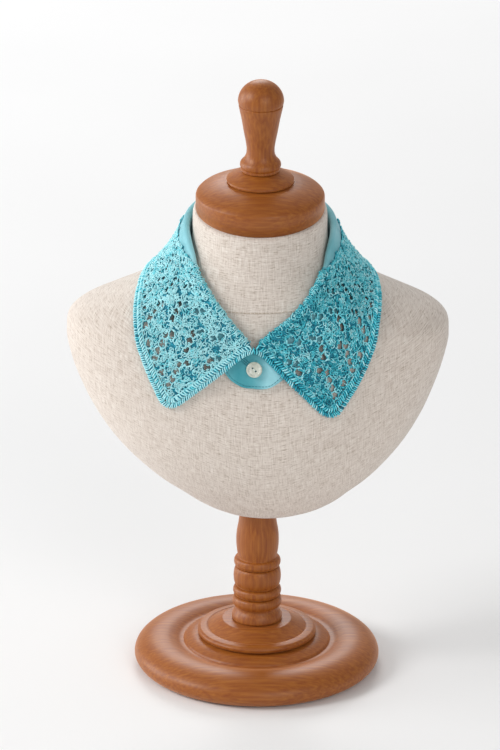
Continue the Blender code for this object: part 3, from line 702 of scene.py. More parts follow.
class Half:
    """One half of the collar laid on the form. Flat millimetres in, frame millimetres out."""

    def __init__(self, ribs, painted_light):
        # the painted light and shade of this half's lace
        self.painted_light = painted_light
        self.roll, self.edge, self.foot = (np.array([rib[part] for rib in ribs]) for part in range(3))
        walked = walked_along(self.curve((self.roll + self.edge) / 2, np.linspace(0, 1, 401)))
        self.walked = walked / walked[-1]
        self.rounds = np.linspace(0, HALF_ROUND, 232)
        centre, out, up, edge, turn_end = self.roll_frame(self.rounds / HALF_ROUND)

        def over_roll(share):
            turn = turn_end + (math.pi - turn_end) * share
            return centre + ROLL_RADIUS * (np.cos(turn)[:, None] * out + np.sin(turn)[:, None] * up)

        shares = np.linspace(1, 1 / 6, 6)
        rows = [over_roll(share) for share in shares]
        start = over_roll(0)
        falls = np.linspace(0, 1, 71)
        for t in falls:
            points = start + (edge - start) * t - out * FALL_SAG * math.sin(math.pi * t)
            off_stand = min(max((t * FALL_WIDTH - STAND_DEPTH) / 9.0, 0), 1)
            rows.append(pushed_clear(points, FALL_OVER_STAND + (FALL_ON_FORM - FALL_OVER_STAND) * off_stand))
        self.downs = np.concatenate([-ROLL_LENGTH * shares, falls * FALL_WIDTH])
        self.points = np.stack(rows, axis=1)
        along, down = np.gradient(self.points, self.rounds, self.downs, axis=(0, 1))
        normals = np.cross(along, down)
        normals /= np.linalg.norm(normals, axis=2)[:, :, None]
        column, row = 116, 40  # in the middle of the half, where the outer side is told from the inner one
        outward = skin_normal(self.points[column, row : row + 1])[0][0]
        self.normals = normals * np.sign(normals[column, row] @ outward)

    @staticmethod
    def curve(rows, u):
        """A smooth curve through evenly spaced rows, square to the centre back."""
        slopes = np.gradient(rows, axis=0)
        slopes[0, 1:] = 0
        place = np.clip(u, 0, 1) * (len(rows) - 1)
        low = np.minimum(place.astype(int), len(rows) - 2)
        part = (place - low)[:, None]
        return blended(rows[low], slopes[low], rows[low + 1], slopes[low + 1], part)

    def even(self, u):
        """The rib parameter at an even distance round the collar."""
        return np.interp(u, self.walked, np.linspace(0, 1, len(self.walked)))

    def roll_frame(self, u):
        """Centre of the roll, the outward and upward directions across it, the fall's edge, the arc's end."""
        rib = self.even(u)
        centre = stood_off(self.curve(self.roll, rib), ROLL_STANDOFF)
        next_on, last_on = np.minimum(rib + 0.01, 1), np.maximum(rib - 0.01, 0)
        ahead = self.curve(self.roll, next_on) - self.curve(self.roll, last_on)
        ahead /= np.linalg.norm(ahead, axis=1)[:, None]
        out = skin_normal(centre)[0]
        out -= ahead * np.sum(out * ahead, axis=1)[:, None]
        out /= np.linalg.norm(out, axis=1)[:, None]
        up = np.cross(out, ahead)
        up *= np.sign(up[:, 2])[:, None]
        edge = stood_off(self.curve(self.edge, rib), FALL_ON_FORM)
        down = edge - centre
        turn_end = np.arctan2(np.sum(down * out, axis=1), -np.sum(down * up, axis=1))
        return centre, out, up, edge, turn_end

    def laid(self, flat, lift=0.0):
        """Flat points (round, down) laid on the form and lifted off the fall's middle surface."""
        flat = np.asarray(flat, float)
        mirrored = flat[:, 0] < 0
        x = np.abs(flat[:, 0])
        column = np.clip(x.astype(int), 0, len(self.rounds) - 2)
        row = np.clip(np.searchsorted(self.downs, flat[:, 1]) - 1, 0, len(self.downs) - 2)
        a = (x - self.rounds[column])[:, None] / (self.rounds[1] - self.rounds[0])
        b = ((flat[:, 1] - self.downs[row]) / (self.downs[row + 1] - self.downs[row]))[:, None]

        def read(grid):
            low = grid[column, row] * (1 - a) + grid[column + 1, row] * a
            high = grid[column, row + 1] * (1 - a) + grid[column + 1, row + 1] * a
            return low * (1 - b) + high * b

        points = read(self.points) + read(self.normals) * np.broadcast_to(lift, len(flat))[:, None]
        points[mirrored, 0] *= -1
        return points


def strip_width(rounds):
    """The plain turned strip narrows towards the throat."""
    start, length = STRIP_NARROWS
    return STRIP_WIDTH + (STRIP_WIDTH_AT_THROAT - STRIP_WIDTH) * smooth_step((rounds - start) / length)


def throat_share(rounds):
    """0 at the sides and 1 at the throat, where the lace has climbed over the fold."""
    start, length = LACE_CLIMBS
    return smooth_step((rounds - start) / length)


def lace_top(rounds):
    """The lace starts on the strip's lower edge, and climbs over the fold towards the throat."""
    climb = throat_share(rounds)
    return (STRIP_WIDTH + 0.4) * (1 - climb) - 5.0 * climb


def lift_over_strip(flat):
    """The lace lies on the strip as far as the strip reaches down, and level with it below."""
    across = np.abs(flat[:, 0])
    near = np.clip((strip_width(across) + 2.0 - flat[:, 1]) / 2.5, 0, 1)
    return (LACE_ON_STRIP - 0.5 * throat_share(across)) * near**2 * (3 - 2 * near)


# ------------------------------------------------------------------ the cotton


# Soft dents in the turned strip: place round the neck, place down, half length, half width and depth.
STRIP_DENTS = (
    (24.0, 6.0, 12.0, 4.0, 0.45),
    (58.0, 3.0, 9.0, 3.5, 0.35),
    (83.0, 7.5, 14.0, 3.0, 0.5),
    (104.0, 2.0, 8.0, 4.0, 0.4),
    (131.0, 4.0, 10.0, 3.0, 0.45),
    (160.0, 0.5, 9.0, 3.0, 0.3),
)


def strip_dents(flat):
    depth = np.zeros(len(flat))
    for across, down, long, wide, deep in STRIP_DENTS:
        depth += deep * np.exp(-(((flat[:, 0] - across) / long) ** 2) - ((flat[:, 1] - down) / wide) ** 2)
    return depth


def build_strip(name, half, cotton, node):
    """The plain cotton turned over the stand's top edge."""

    def place(across, down):
        rounds = SEAM / 2 + across * (HALF_ROUND - BORDER_WIDTH - SEAM)
        flat = np.stack([rounds, -ROLL_LENGTH + down * (ROLL_LENGTH + strip_width(rounds))], axis=1)
        return half.laid(flat, COTTON / 2 - strip_dents(flat) - 0.5 * throat_share(rounds))

    return sheet_from(name, 180, 22, place, cotton, (node,), thickness=COTTON)


def stand_ribs(right_hand, left_hand):
    """Top, foot and standoffs of the band's ribs, from the underlap's end round the neck to the overlap's."""
    u = np.linspace(0, 1, 24)
    parts = []
    sides = ((left_hand, UNDERLAP, UNDERLAP_STANDOFF), (right_hand, OVERLAP, OVERLAP_STANDOFF))
    for half, ends, lap in sides:
        centre, out, up, _, _ = half.roll_frame(u)
        near = np.clip((u - 0.86) / 0.12, 0, 1)[:, None]
        top, foot = centre - out * ROLL_RADIUS - up * (SEAM + 0.2), half.curve(half.foot, half.even(u))
        usual = np.array([STAND_TOP_STANDOFF, STAND_FOOT_STANDOFF])
        rows = np.concatenate([top, foot, usual + (lap - usual) * near], axis=1)
        parts.append(np.concatenate([rows, [(*top, *foot, lap, lap) for top, foot in ends]]))
    return np.concatenate([parts[0][::-1], parts[1][1:]])


def build_stand(right_hand, left_hand, cotton, thread):
    """The band round the neck with its buttoned ends, and the line of stitches along its foot."""
    ribs = smooth_through(stand_ribs(right_hand, left_hand), 421)

    def laid(across, down, lift=0.0):
        rows = read_at(across * (len(ribs) - 1), np.arange(len(ribs)), ribs)
        points = rows[:, 0:3] + (rows[:, 3:6] - rows[:, 0:3]) * down[:, None]
        return stood_off(points, rows[:, 6] + (rows[:, 7] - rows[:, 6]) * down + lift)

    def place(across, down):
        ease = 0.12 * np.sin(across * 160.0 + 3 * down) * np.sin(math.pi * down)
        points = laid(across, down, ease + COTTON / 2)
        # the button pulls the overlap in, with five creases round it
        aside, below = points[:, 0] - BUTTON_PLACE[0], points[:, 2] - BUTTON_PLACE[2]
        creases = 0.5 + 0.12 * np.cos(5 * np.arctan2(below, aside))
        pull = np.exp(-((aside / 7.5) ** 2) - (below / 9.0) ** 2) * creases
        return stood_off(points, skin_normal(points)[1] - np.where(across > 0.9, pull, 0.0))

    node = ("collar_stand",)
    stand = sheet_from("cotton_stand", 320, 12, place, cotton, node, thickness=COTTON)
    shares = np.linspace(0, 1, 2001)
    walked = walked_along(laid(shares, np.ones(len(shares))))
    strands = []
    for start in np.arange(1.5, walked[-1] - 3.5, 2.6):
        at = np.interp(np.linspace(start, start + 1.9, 5), walked, shares)
        depth = np.full(5, 1 - 1.6 / 26.0)  # 1.6 mm above the foot
        lift = COTTON / 2 + 0.02 + 0.12 * np.sin(np.linspace(0, math.pi, 5))
        strands.append(stitch(laid(at, depth, lift)))
    yarn_from("stand_top_stitching", strands, thread)
    return stand


def at_button(standoff):
    """The button's middle at a distance from the form, the way out there and the turn that faces it."""
    place = stood_off(np.array([BUTTON_PLACE]), standoff)
    normal = Vector(skin_normal(place)[0][0])
    return place[0], normal, Vector((0, 0, 1)).rotation_difference(normal).to_matrix()


def build_button(shell, thread):
    """A two-hole button with a raised rim and the thread through it."""
    place, normal, turn = at_button(OVERLAP_STANDOFF + COTTON / 2 + SEAM)
    matrix = Matrix.Translation(Vector(place) * MM) @ turn.to_4x4()
    profile = [(0, 0.1), (3.6, 0), (5.2, 0.5), (5.95, 1.2), (BUTTON_RADIUS, 1.75), (5.7, 2.35), (5.1, 2.5)]
    profile += [(4.5, 2.2), (3.9, 1.75), (2.0, 1.5), (0, 1.45)]
    disc = mesh_from("shell_button", lathe(profile, 48, matrix, 0.4))
    button = finished("shell_button", disc, shell, ("button",), 40.0)
    hole_out, hole_radius = 1.55, 0.75
    holes = [side * hole_out * heading(math.radians(135)) for side in (-1, 1)]
    drills = []
    for number, hole in enumerate(holes):
        cutter = bmesh.new()
        size = {"radius1": hole_radius * MM, "radius2": hole_radius * MM, "depth": 8 * MM}
        bmesh.ops.create_cone(cutter, cap_ends=True, segments=20, **size)
        aside = Matrix.Translation((hole[0] * MM, hole[1] * MM, 0))
        bmesh.ops.transform(cutter, matrix=matrix @ aside, verts=cutter.verts)
        drills.append(linked(f"drill_{number}", mesh_from(f"drill_{number}", cutter)))
        cut = button.modifiers.new(f"hole_{number}", "BOOLEAN")
        cut.object, cut.operation, cut.solver = drills[-1], "DIFFERENCE", "EXACT"
    drilled = bpy.data.meshes.new_from_object(button.evaluated_get(bpy.context.evaluated_depsgraph_get()))
    button.modifiers.clear()
    button.data = drilled
    for drill in drills:
        bpy.data.objects.remove(drill)
    strands = []
    for offset in (-0.27, 0.27):
        share = np.linspace(-0.72, 0.72, 9)
        across = np.outer(share, holes[1]) - offset * square_to(holes[1]) / hole_out
        height = 1.58 + 0.2 * (1 - share**4) - 1.1 * (np.abs(share) > 0.7)
        points = np.array([matrix @ Vector(point * MM) for point in np.column_stack([across, height])])
        strands.append((points, 0.28, 0.5, tuple(normal)))
    yarn_from("button_thread", strands, thread)


def build_buttonhole(thread):
    """The slit's row of stitches and one on either side, from under the button up to the wearer's right."""
    place, normal, turn = at_button(OVERLAP_STANDOFF + COTTON)
    ahead = heading(math.radians(139))
    aside = square_to(ahead)
    strands = []
    for offset in (-1.5, 0.0, 1.5):
        for step in np.arange(-5.0, 11.0, 1.3):
            share = np.linspace(0, 1, 5)
            flat = np.outer(step + 1.25 * share, ahead) + offset * aside
            points = np.array([np.array(turn @ Vector((*point, 0.0))) + place for point in flat])
            lift = OVERLAP_STANDOFF + COTTON - 0.12 + 0.2 * np.sin(share * math.pi)
            strands.append(stitch(stood_off(points, lift), tuple(normal)))
    yarn_from("buttonhole_stitches", strands, thread)


# ------------------------------------------------------------------ the lace


def border_path(inset, spacing):
    """Flat path along the fall's front and outer edges at an inset, from the throat to the centre back."""
    front, low = HALF_ROUND - inset, FALL_WIDTH - inset
    radius = max(CORNER_RADIUS - inset, 0.6)
    turns = np.linspace(0, math.pi / 2, 24)
    round_x, round_y = radius * np.cos(turns), radius * np.sin(turns)
    corner = np.stack([front - radius + round_x, low - radius + round_y], axis=1)
    down = np.linspace(BORDER_START, low - CORNER_RADIUS, 40)
    leaning = front + 2.0 * np.clip(1 - down / 9.0, 0, 1.2) ** 2
    path = np.concatenate([np.stack([leaning, down], axis=1), corner, [(0.0, low)]])
    return evenly(path, spacing)


def evenly(path, spacing):
    """Points along a flat path at an even spacing."""
    walked = walked_along(path)
    return read_at(np.linspace(0, walked[-1], max(int(walked[-1] / spacing), 2) + 1), walked, path)


def cell_middle(row, column):
    return np.array([(column + 0.5 + 0.5 * (row % 2)) * COLUMN_STEP, CHART_START + (row + 0.5) * ROW_STEP])


# of a hexagon, in shares of a column's and a row's step
CELL_CORNERS = np.array(
    [
        (share * COLUMN_STEP, thirds * ROW_STEP / 3)
        for share, thirds in ((0.5, 1), (0.0, 2), (-0.5, 1), (-0.5, -1), (0.0, -2), (0.5, -1))
    ]
)


def on_lace(point, margin):
    """Whether a flat point lies on the lace, at least the margin away from its edges."""
    x, y = abs(point[0]), point[1]
    low_edge, front_edge = FALL_WIDTH - BORDER_WIDTH, HALF_ROUND - BORDER_WIDTH
    return x <= front_edge - margin and lace_top(x) + margin <= y <= low_edge - margin


def chart_cells(first_column):
    """The cells that belong to the half: middle and kind. A gap too near an edge is closed."""
    past_border, past_top = 2.2, 0.4  # how far a cell's middle may lie off the lace
    cells = []
    for row in range(-1, len(CHART)):
        for column in range(first_column, CHART_COLUMNS):
            middle = cell_middle(row, column)
            if max(middle[0] - HALF_ROUND, middle[1] - FALL_WIDTH) + BORDER_WIDTH > past_border:
                continue
            if middle[1] < lace_top(middle[0]) - past_top:
                continue
            kind = CHART[row][column % 4] if row >= 0 else "+"
            if kind == "O" and (not on_lace(middle, GAP_CLEARANCE) or middle[0] < GAP_CLEARANCE):
                kind = "+"
            cells.append((middle, kind))
    return cells


def pulled(flat):
    """Flat points moved as hand work pulls a net a little out of true, but not across the centre back."""
    x, y = flat[:, 0], flat[:, 1]
    aside = 0.42 * np.sin(0.71 * y + 0.33 * x) + 0.28 * np.sin(1.73 * y - 1.1 * x + 1.0)
    down = 0.38 * np.sin(0.63 * x - 0.41 * y + 2.0) + 0.26 * np.sin(1.61 * x + 0.9 * y)
    free = np.clip(np.abs(x) / 6.0, 0, 1)
    return np.stack([x + aside * free, np.maximum(y + down, 0.5 - ROLL_LENGTH)], axis=1)


def build_ground(name, half, cells, material, node):
    """The closed stitches behind the threads as a honeycomb sheet with the gaps cut through."""
    build = bmesh.new()
    for middle, _ in cells:
        made = bmesh.ops.create_circle(build, cap_ends=True, segments=6, radius=1.0)
        for vertex, corner in zip(made["verts"], CELL_CORNERS):
            vertex.co = (*(middle + corner), 0.0)
    bmesh.ops.recalc_face_normals(build, faces=build.faces)
    build.faces.ensure_lookup_table()
    faces = list(build.faces)
    gaps = [face for face, (_, kind) in zip(faces, cells) if kind == "O"]
    closed = [face for face, (_, kind) in zip(faces, cells) if kind != "O"]
    bmesh.ops.inset_individual(build, faces=gaps, thickness=GAP_RIM, use_even_offset=True)
    bmesh.ops.delete(build, geom=gaps, context="FACES")
    bmesh.ops.poke(build, faces=closed)
    bmesh.ops.remove_doubles(build, verts=build.verts, dist=0.02)
    flat = pulled(np.array([vertex.co[:2] for vertex in build.verts]))
    points = half.laid(flat, -0.2 + lift_over_strip(flat))
    for vertex, point in zip(build.verts, points):
        vertex.co = Vector(point) * MM
    thicken(build, 0.5)
    return finished(name, mesh_from(name, build), material, (node,))


def plied(path, lift, tone, radius=0.34, swing=0.28, pitch=1.9, start=0.0):
    """Two plies twisted round a flat path, as rows of (x, y, lift) with their radius and tone."""
    path = np.asarray(path, float)
    lift = np.broadcast_to(lift, len(path))
    walked = walked_along(path)
    at = np.linspace(0, walked[-1], max(int(walked[-1] / pitch * 4.2), 3) + 1)
    middle = read_at(at, walked, path)
    height = np.interp(at, walked, lift)
    ahead = np.gradient(middle, axis=0)
    ahead /= np.maximum(np.linalg.norm(ahead, axis=1), 1e-9)[:, None]
    aside = np.stack([-ahead[:, 1], ahead[:, 0]], axis=1)
    out = []
    for ply in (0.0, math.pi):
        turn = start + ply + at * 2 * math.pi / pitch
        points = middle + aside * (swing * np.cos(turn))[:, None]
        out.append((np.column_stack([points, height + swing * np.sin(turn)]), radius, tone))
    return out


def arc(start, end, bow, count=7):
    """Flat points from start to end, bowed aside."""
    start, end = np.asarray(start, float), np.asarray(end, float)
    share = np.linspace(0, 1, count)[:, None]
    aside = square_to(end - start) / max(np.linalg.norm(end - start), 1e-9)
    return start * (1 - share) + end * share + aside * bow * np.sin(math.pi * share)


def curl(middle, reach, lift, tone):
    """A picot: one thread curled round into an open loop."""
    first, sweep = rng.uniform(0, 6.28), rng.uniform(4.2, 5.6)
    turn = np.linspace(0, sweep, 8)
    squash, lean = rng.uniform(0.55, 0.95), rng.uniform(0, 3.14)
    ring = np.stack([reach * np.cos(first + turn), squash * reach * np.sin(first + turn)], axis=1)
    points = middle + ring @ np.array([heading(lean), square_to(heading(lean))])
    height = lift + 0.45 * np.sin(turn * 1.3 + first)
    return np.column_stack([points, height]), rng.uniform(0.34, 0.46), tone


def net_threads(cells):
    """Twisted pale threads round each gap, with a knot where they meet."""
    threads, sides, knots = [], {}, {}
    for middle, kind in cells:
        corners = middle + CELL_CORNERS
        for step in range(6):
            a, b = corners[step], corners[(step + 1) % 6]
            key = tuple(np.round((a + b) / 2, 1))
            sides.setdefault(key, (a, b, []))[2].append(kind)
    for key in sorted(sides):
        a, b, kinds = sides[key]
        if "O" not in kinds:
            continue
        shift = rng.normal(0, 0.15, (2, 2))
        path = arc(a + shift[0], b + shift[1], rng.normal(0, 0.22), 5)
        lift, tone = 0.5 + rng.uniform(-0.1, 0.2), rng.normal(0.56, 0.08)
        threads += plied(path, lift, tone, start=rng.uniform(0, 6.28))
        for corner in (a, b):
            knots[tuple(np.round(corner, 1))] = corner
    for key in sorted(knots):
        threads.append(curl(knots[key], rng.uniform(0.55, 0.8), 0.8, rng.normal(0.6, 0.08)))
    for middle in [middle for middle, kind in cells if kind == "O"]:
        for _ in range(2):
            place = middle + 1.9 * heading(rng.uniform(0, 2 * math.pi))
            threads.append(curl(place, rng.uniform(0.6, 0.9), rng.uniform(0.2, 0.6), rng.normal(0.5, 0.12)))
    return threads


def cluster_threads(cells):
    """Picots crowded over the closed cells."""
    threads = []
    for middle, kind in cells:
        for _ in range(5 if kind == "+" else 4 if kind == "#" else 0):
            place = middle + rng.uniform(-1, 1, 2) * (2.5, 2.3)
            threads.append(curl(place, rng.uniform(1.0, 1.7), rng.uniform(0.3, 1.1), rng.normal(0.48, 0.14)))
    return threads


def flower_threads(middle):
    """A flower of six petals: a ring, and round each petal an outline filled with curled stitches."""
    threads = []
    ring = np.linspace(0, 2 * math.pi, 15)
    circle = middle + 1.2 * np.stack([np.cos(ring), np.sin(ring)], axis=1)
    threads += plied(circle, 0.85, 0.5, 0.3, 0.26, 1.5)
    first = rng.uniform(0, math.pi / 3)
    share = np.linspace(0, 1, 13)
    for petal in range(6):
        ahead = heading(first + petal * math.pi / 3 + rng.normal(0, 0.12))
        aside = square_to(ahead)
        reach, tone = rng.normal(6.3, 0.8), rng.normal(0.47, 0.12)
        out = 1.5 + (reach - 1.5) * np.sin(math.pi * share) ** 0.8
        wide = 2.2 * np.sin(2 * math.pi * share) * (0.5 + 0.5 * np.sin(math.pi * share))
        outline = middle + np.outer(out, ahead) + np.outer(wide, aside) + rng.normal(0, 0.12, (13, 2))
        rise = rng.uniform(0.6, 0.95) + 0.2 * np.sin(math.pi * share)
        threads += plied(outline, rise, tone, 0.28, 0.3, 1.9, rng.uniform(0, 6.28))
        for step in (3.1, 4.5, 5.7):
            place = middle + ahead * step + aside * rng.normal(0, 0.35)
            tuft = curl(place, rng.uniform(0.85, 1.3), rng.uniform(0.6, 1.2), tone + rng.normal(0, 0.14))
            threads.append(tuft)
    return threads


def middle_of(thread):
    return thread[0][len(thread[0]) // 2, :2]


def kept_on_lace(threads):
    """Threads whose middle lies on the lace, so that none runs out over the cotton or past the border."""
    return [thread for thread in threads if on_lace(middle_of(thread), -1.2)]


def lay_threads(half, threads, loose=True):
    """The flat threads laid on the form, each with the way that faces out of the cloth there."""
    cuts = np.cumsum([len(points) for points, _, _ in threads])[:-1]
    flat = np.concatenate([points for points, _, _ in threads])
    place = pulled(flat) if loose else flat[:, :2]
    points = np.split(half.laid(place, flat[:, 2] + lift_over_strip(place)) * MM, cuts)
    middles = np.array([middle_of(thread) for thread in threads])
    outward = half.laid(middles, 1.0) - half.laid(middles, 0.0)
    # painted light and shade: each thread is painted paler or darker by its half's amount, growing towards
    # the front and scattered from thread to thread
    mottled_painted_light = half.painted_light * np.abs(middles[:, 0]) / HALF_ROUND * rng.uniform(0.0, 2.0, len(threads))
    tones = [tone + thread_painted_light + rng.normal(0, 0.06) for (_, _, tone), thread_painted_light in zip(threads, mottled_painted_light)]
    return [(part, row[1], tone, way) for part, row, tone, way in zip(points, threads, tones, outward)]


def build_lace(hand, half, first_column, thread, ground):
    """The lace of one half: its ground as the sheet, and the net, the picots and the flowers over it."""
    cells = chart_cells(first_column)
    sheet = build_ground(f"lace_ground_{hand}", half, cells, ground, f"lace_{hand}")
    flowers = []
    for row, column in FLOWERS:
        for step in range(-1, CHART_COLUMNS // 4 + 1):
            middle = cell_middle(row, column + 4 * step)
            if -3.0 < middle[0] < HALF_ROUND:
                flowers += flower_threads(middle)
    own_side = -0.3 if first_column < 0 else 0.0
    flowers = [thread for thread in flowers if middle_of(thread)[0] > own_side]
    parts = {"net": net_threads(cells), "picots": cluster_threads(cells), "flowers": flowers}
    pieces = []
    for part, threads in parts.items():
        laid = lay_threads(half, kept_on_lace(threads))
        pieces.append(yarn_from(f"lace_{part}_{hand}", laid, thread))
    return sheet, pieces


def build_border(hand, half, thread, ground):
    """Two cords wrapped in slanted stitches with a groove between them, and the line that joins the net."""
    base = 0.15  # the cords' middles over the lace's middle
    paths = [half.laid(border_path(inset, 2.5), base) * MM for inset in BORDER_CORDS]
    # the cores take the dark ground cotton, painted dark for the shade under their stitches
    cores = [(path, 1.2, 0.1, (0.0, 0.0, 1.0)) for path in paths]
    node = f"lace_border_{hand}"
    core = yarn_from(f"border_cords_{hand}", cores, ground, replaces=(node,), sides=10)
    stitches = []
    share = np.linspace(-1, 1, 8)
    wrap = np.radians(112.0) * share
    for inset, (half_width, rise, pitch, slant, radius) in BORDER_CORDS.items():
        path = border_path(inset, 0.25)
        walked = walked_along(path)
        ahead = np.gradient(path, axis=0)
        ahead /= np.linalg.norm(ahead, axis=1)[:, None]
        aside = np.stack([ahead[:, 1], -ahead[:, 0]], axis=1)
        for start in np.arange(0.8, walked[-1] - 0.6, pitch):
            at = start + slant * rng.normal(1.0, 0.2) * share / 2 + rng.normal(0, 0.15)
            across = read_at(at, walked, aside) * (half_width * np.sin(wrap))[:, None]
            points = read_at(at, walked, path) + across
            height = base + rise * np.cos(wrap) + rng.normal(0, 0.12)
            stitches.append((np.column_stack([points, height]), radius, rng.normal(0.45, 0.12)))
    joined = evenly(border_path(BORDER_WIDTH + 0.2, 1.0), 4.0)
    for a, b in zip(joined[2:], joined[3:]):
        stitches += plied(arc(a, b, 0.0, 3), 0.7, rng.normal(0.42, 0.1), 0.36, 0.36, 2.0)
    laid = lay_threads(half, stitches, loose=False)
    return core, yarn_from(f"border_stitches_{hand}", laid, thread, sides=6)


def build_neck_edging(hand, half, thread, ground):
    """Close stitches over the fold from where the lace has climbed it to the throat, under slanted ones."""
    front = HALF_ROUND - BORDER_WIDTH

    def place(across, down):
        rounds = EDGING_START + across * (front - EDGING_START)
        high = np.maximum(lace_top(rounds), -5.2)
        flat = np.stack([rounds, high + (1.5 - high) * down], axis=1)
        return half.laid(flat, lift_over_strip(flat) - 0.1)

    # in the dark ground cotton, painted dark for the shade under the stitches over it
    fold = sheet_from(f"fold_stitches_{hand}", 80, 8, place, ground, thickness=0.4)
    threads = []
    share = np.linspace(0, 1, 7)
    for start in np.arange(EDGING_START + 2.0, front + 1.0, 1.9):
        high = max(float(lace_top(start)), -4.9)
        x = start + 1.5 * share + rng.normal(0, 0.08)
        y = high + (1.2 - high) * share
        lift = 0.1 + 0.3 * np.sin(math.pi * share) ** 0.6 + rng.normal(0, 0.08)
        threads.append((np.column_stack([x, y, lift]), 0.36, rng.normal(0.5, 0.1)))
    for start in np.arange(118.0, front, 1.4):
        high = float(lace_top(start))
        middle = np.array([start, rng.uniform(high + 0.6, max(high + 2.0, -0.5))])
        threads.append(curl(middle, rng.uniform(0.9, 1.4), rng.uniform(0.2, 0.7), rng.normal(0.5, 0.14)))
    return [fold, yarn_from(f"neck_edging_{hand}", lay_threads(half, threads), thread)]


# ------------------------------------------------------------------ the turned stand


def bead(low, high, foot, belly, count=13):
    """Profile points of a rounded bead between two heights, from its foot radius out to its belly."""
    middle, half = (low + high) / 2, (high - low) / 2
    angles = [math.pi * (step + 0.5) / count - math.pi / 2 for step in range(count)]
    return [(foot + (belly - foot) * math.cos(angle), middle + half * math.sin(angle)) for angle in angles]


def softened(profile, count):
    """A smooth curve through a stretch of the profile."""
    return [tuple(point) for point in smooth_through(profile, count)]


def cap_place(rise=0.0):
    """The cap's tilt about the neck's axis, at the level of its crease."""
    lean = Matrix.Rotation(CAP_LEAN, 4, "X")
    return Matrix.Translation((0, 0, CAP_CREASE * MM)) @ lean @ Matrix.Translation((0, 0, rise * MM))


def build_turnings(face_wood, length_wood):
    """The foot, its step, the post, the cap on the neck, its disc and the finial."""
    rim = [(84.5, 0), (89.4, 1.2), (93.4, 4.0), (95.6, 8.6), (94.4, 13.6), (90.2, 18.0), (83.6, 21.3)]
    dish = [(76.0, 22.8), (70.0, 22.6), (64.5, 21.2), (60.0, 19.6), (57.2, 19.4)]
    boss = [(56.0, 21.2), (50.0, 23.9), (44.0, 25.0)]
    profile = [(0, 0)] + softened(rim + dish, 46) + softened(boss, 10) + [(0, 25.3)]
    turned("turned_base", profile, face_wood, 128, "base")

    top = POST_FLOOR - SEAM
    profile = [(0, STEP_FLOOR), (44.8, STEP_FLOOR), (46.3, STEP_FLOOR + 1.2), (46.3, STEP_FLOOR + 3.2)]
    profile += [(44.6, STEP_FLOOR + 4.9), (39.6, STEP_FLOOR + 5.6), (38.4, STEP_FLOOR + 5.2)]
    cove = [(38.2, STEP_FLOOR + 5.3), (35.0, STEP_FLOOR + 7.0), (28.4, top - 0.9), (27.0, top)]
    turned("turned_step", profile + softened(cove, 8) + [(0, top)], face_wood, 96, "base_step")

    profile = [(0, POST_FLOOR), (19.1, POST_FLOOR), (19.6, POST_FLOOR + 1.0)]
    profile += softened([(19.4, 41.2), (18.2, 44.0), (16.7, 46.4), (16.5, 47.9)], 9)
    for low, high, foot, belly in POST_BEADS:
        profile += bead(low, high, foot, belly) + [(foot - 0.7, high + 0.35)]
    urn = [(15.1, 90.0), (16.1, 96.0), (16.6, 103.0), (16.2, 111.0), (15.0, 118.0), (13.0, POST_TOP)]
    turned("turned_post", profile + softened(urn, 24) + [(0, POST_TOP)], length_wood, 72, "post")

    profile = [(0, -10.0), (CAP_RADIUS, -10.0), (CAP_RADIUS, -1.6)]
    crown = [(48.7, 0.2), (46.6, 2.3), (41.0, 5.4), (33.0, 8.4), (26.0, DISC_RISE - SEAM)]
    profile += softened(crown, 20) + [(0, DISC_RISE - SEAM)]
    cap = turned("turned_cap", profile, face_wood, 112, "neck_cap", cap_place())
    for vertex in cap.data.vertices:
        if vertex.co.z < (CAP_CREASE - 6.0) * MM:  # its underside lies on the form's sloping cut
            vertex.co.z = NECK_CUT_HEIGHT * MM + NECK_CUT_SLOPE * vertex.co.y

    top = FINIAL_RISE - DISC_RISE - SEAM
    profile = [(0, 0), (25.2, 0), (25.9, 0.7), (25.9, 2.0), (25.0, 2.8), (20.5, 5.2), (14.2, top), (0, top)]
    turned("turned_disc", profile, face_wood, 72, "cap_disc", cap_place(DISC_RISE))

    head, head_height, groove = 17.5, 16.2, 53.4
    stem = [(15.1, 2.7), (15.7, 3.8), (15.3, 6.4), (12.8, 9.4), (11.1, 12.7), (10.65, 17.3), (11.3, 22.8)]
    stem += [(13.0, 31.8), (14.5, 40.8), (16.9, groove - 1.2)]
    profile = [(0, 0), (14.4, 0), (15.1, 0.7), (14.9, 2.3)] + softened(stem, 36)
    profile += [(16.9, groove - 0.5), (16.2, groove), (17.1, groove + 0.6), (head, groove + 2.8)]
    angles = np.radians(np.arange(6, 91, 7))
    profile += [(head * math.cos(angle), groove + 2.8 + head_height * math.sin(angle)) for angle in angles]
    turned("turned_finial", profile + [(0, groove + 19.0)], length_wood, 72, "finial", cap_place(FINIAL_RISE))


# ------------------------------------------------------------------ studio


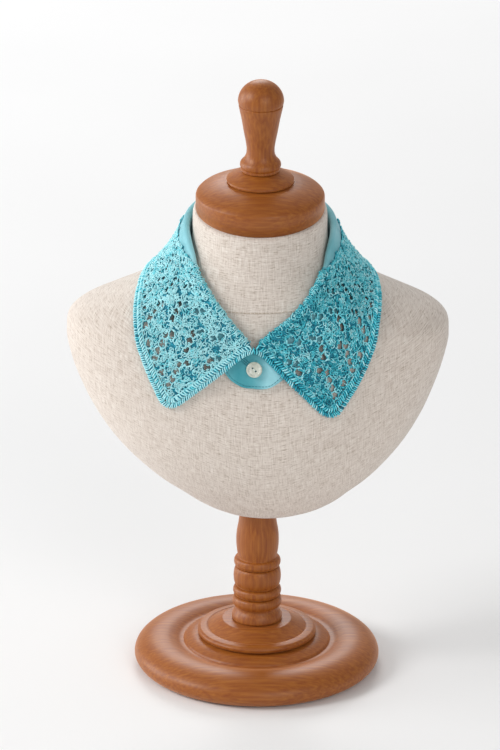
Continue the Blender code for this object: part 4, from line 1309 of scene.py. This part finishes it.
def build_studio(paper):
    """White paper under the stand, an even white room and four soft boxes, lit most from the left."""
    build = bmesh.new()
    bmesh.ops.create_grid(build, x_segments=1, y_segments=1, size=6.0)
    floor = linked("studio_floor", mesh_from("studio_floor", build))
    floor.data.materials.append(paper)
    world = bpy.data.worlds.new("studio")
    world.use_nodes = True
    room = world.node_tree.nodes["Background"]
    feed(world.node_tree, room, {"Color": (1.0, 1.0, 1.0, 1.0), "Strength": 0.38})
    bpy.context.scene.world = world
    aim = Vector((0.0, 0.0, 0.26))
    # place, size across and power of each soft box
    for name, place, size, power in (
        ("window_left", (-2.7, -0.8, 2.0), 1.2, 52.0),
        ("side_left", (-2.8, 0.9, 0.8), 1.4, 32.0),
        ("front_soft", (1.2, -2.8, 1.6), 1.8, 24.0),
        ("backdrop", (-0.2, 3.2, 2.2), 1.6, 46.0),
    ):
        light = bpy.data.lights.new(name, "AREA")
        light.size = size
        light.energy = power
        lamp = linked(name, light)
        lamp.location = place
        lamp.rotation_mode = "QUATERNION"
        lamp.rotation_quaternion = (aim - Vector(place)).to_track_quat("-Z", "Y")


def build_camera():
    """A long lens 4.5 m away, looking down at 21 degrees."""
    distance, elevation = 4.5, math.radians(21.3)
    picture_height = 0.5775  # of what the lens takes in at the object
    camera = bpy.data.cameras.new("camera")
    camera.lens = camera.sensor_width * distance / picture_height
    camera.clip_end = 40.0
    eye = linked("camera", camera)
    aim = Vector((-0.0068, 0.0, 0.2405))
    back = Vector((0.0, -math.cos(elevation), math.sin(elevation)))
    eye.location = aim + back * distance
    eye.rotation_mode = "QUATERNION"
    eye.rotation_quaternion = (-back).to_track_quat("-Z", "Y") @ Quaternion((0, 0, 1), math.radians(0.42))
    bpy.context.scene.camera = eye


# ------------------------------------------------------------------ assembly


def build_collar(thread, ground, cotton, sewing, shell):
    """The stand with its button, and then each half's strip, lace, border and edging."""
    right_hand, left_hand = Half(RIBS_RIGHT_HAND, PAINTED_SIDE_LIGHT["right"]), Half(RIBS_LEFT_HAND, PAINTED_SIDE_LIGHT["left"])
    stand = build_stand(right_hand, left_hand, cotton, sewing)
    build_buttonhole(sewing)
    build_button(shell, make_sewing_thread("pale_button_thread", "#e4efe6"))
    for hand, half, first_column in (("right", right_hand, -1), ("left", left_hand, 0)):
        strip = build_strip(f"cotton_strip_{hand}", half, cotton, f"roll_strip_{hand}")
        sheet, over = build_lace(hand, half, first_column, thread, ground)
        over += [*build_border(hand, half, thread, ground), *build_neck_edging(hand, half, thread, ground)]


def main():
    bpy.context.scene.view_settings.view_transform = "Standard"
    build_studio(make_studio_paper())
    build_camera()
    face_wood = make_varnished_wood("varnished_beech_face", 0)
    length_wood = make_varnished_wood("varnished_beech_length", 2)
    build_turnings(face_wood, length_wood)
    build_form(make_linen(), make_sewing_thread("linen_seam_thread", "#b7a78f"))
    sewing = make_sewing_thread("deep_turquoise_sewing_thread", "#257f90")
    build_collar(make_crochet_thread(), make_crochet_ground(), make_poplin(), sewing, make_shell())


main()
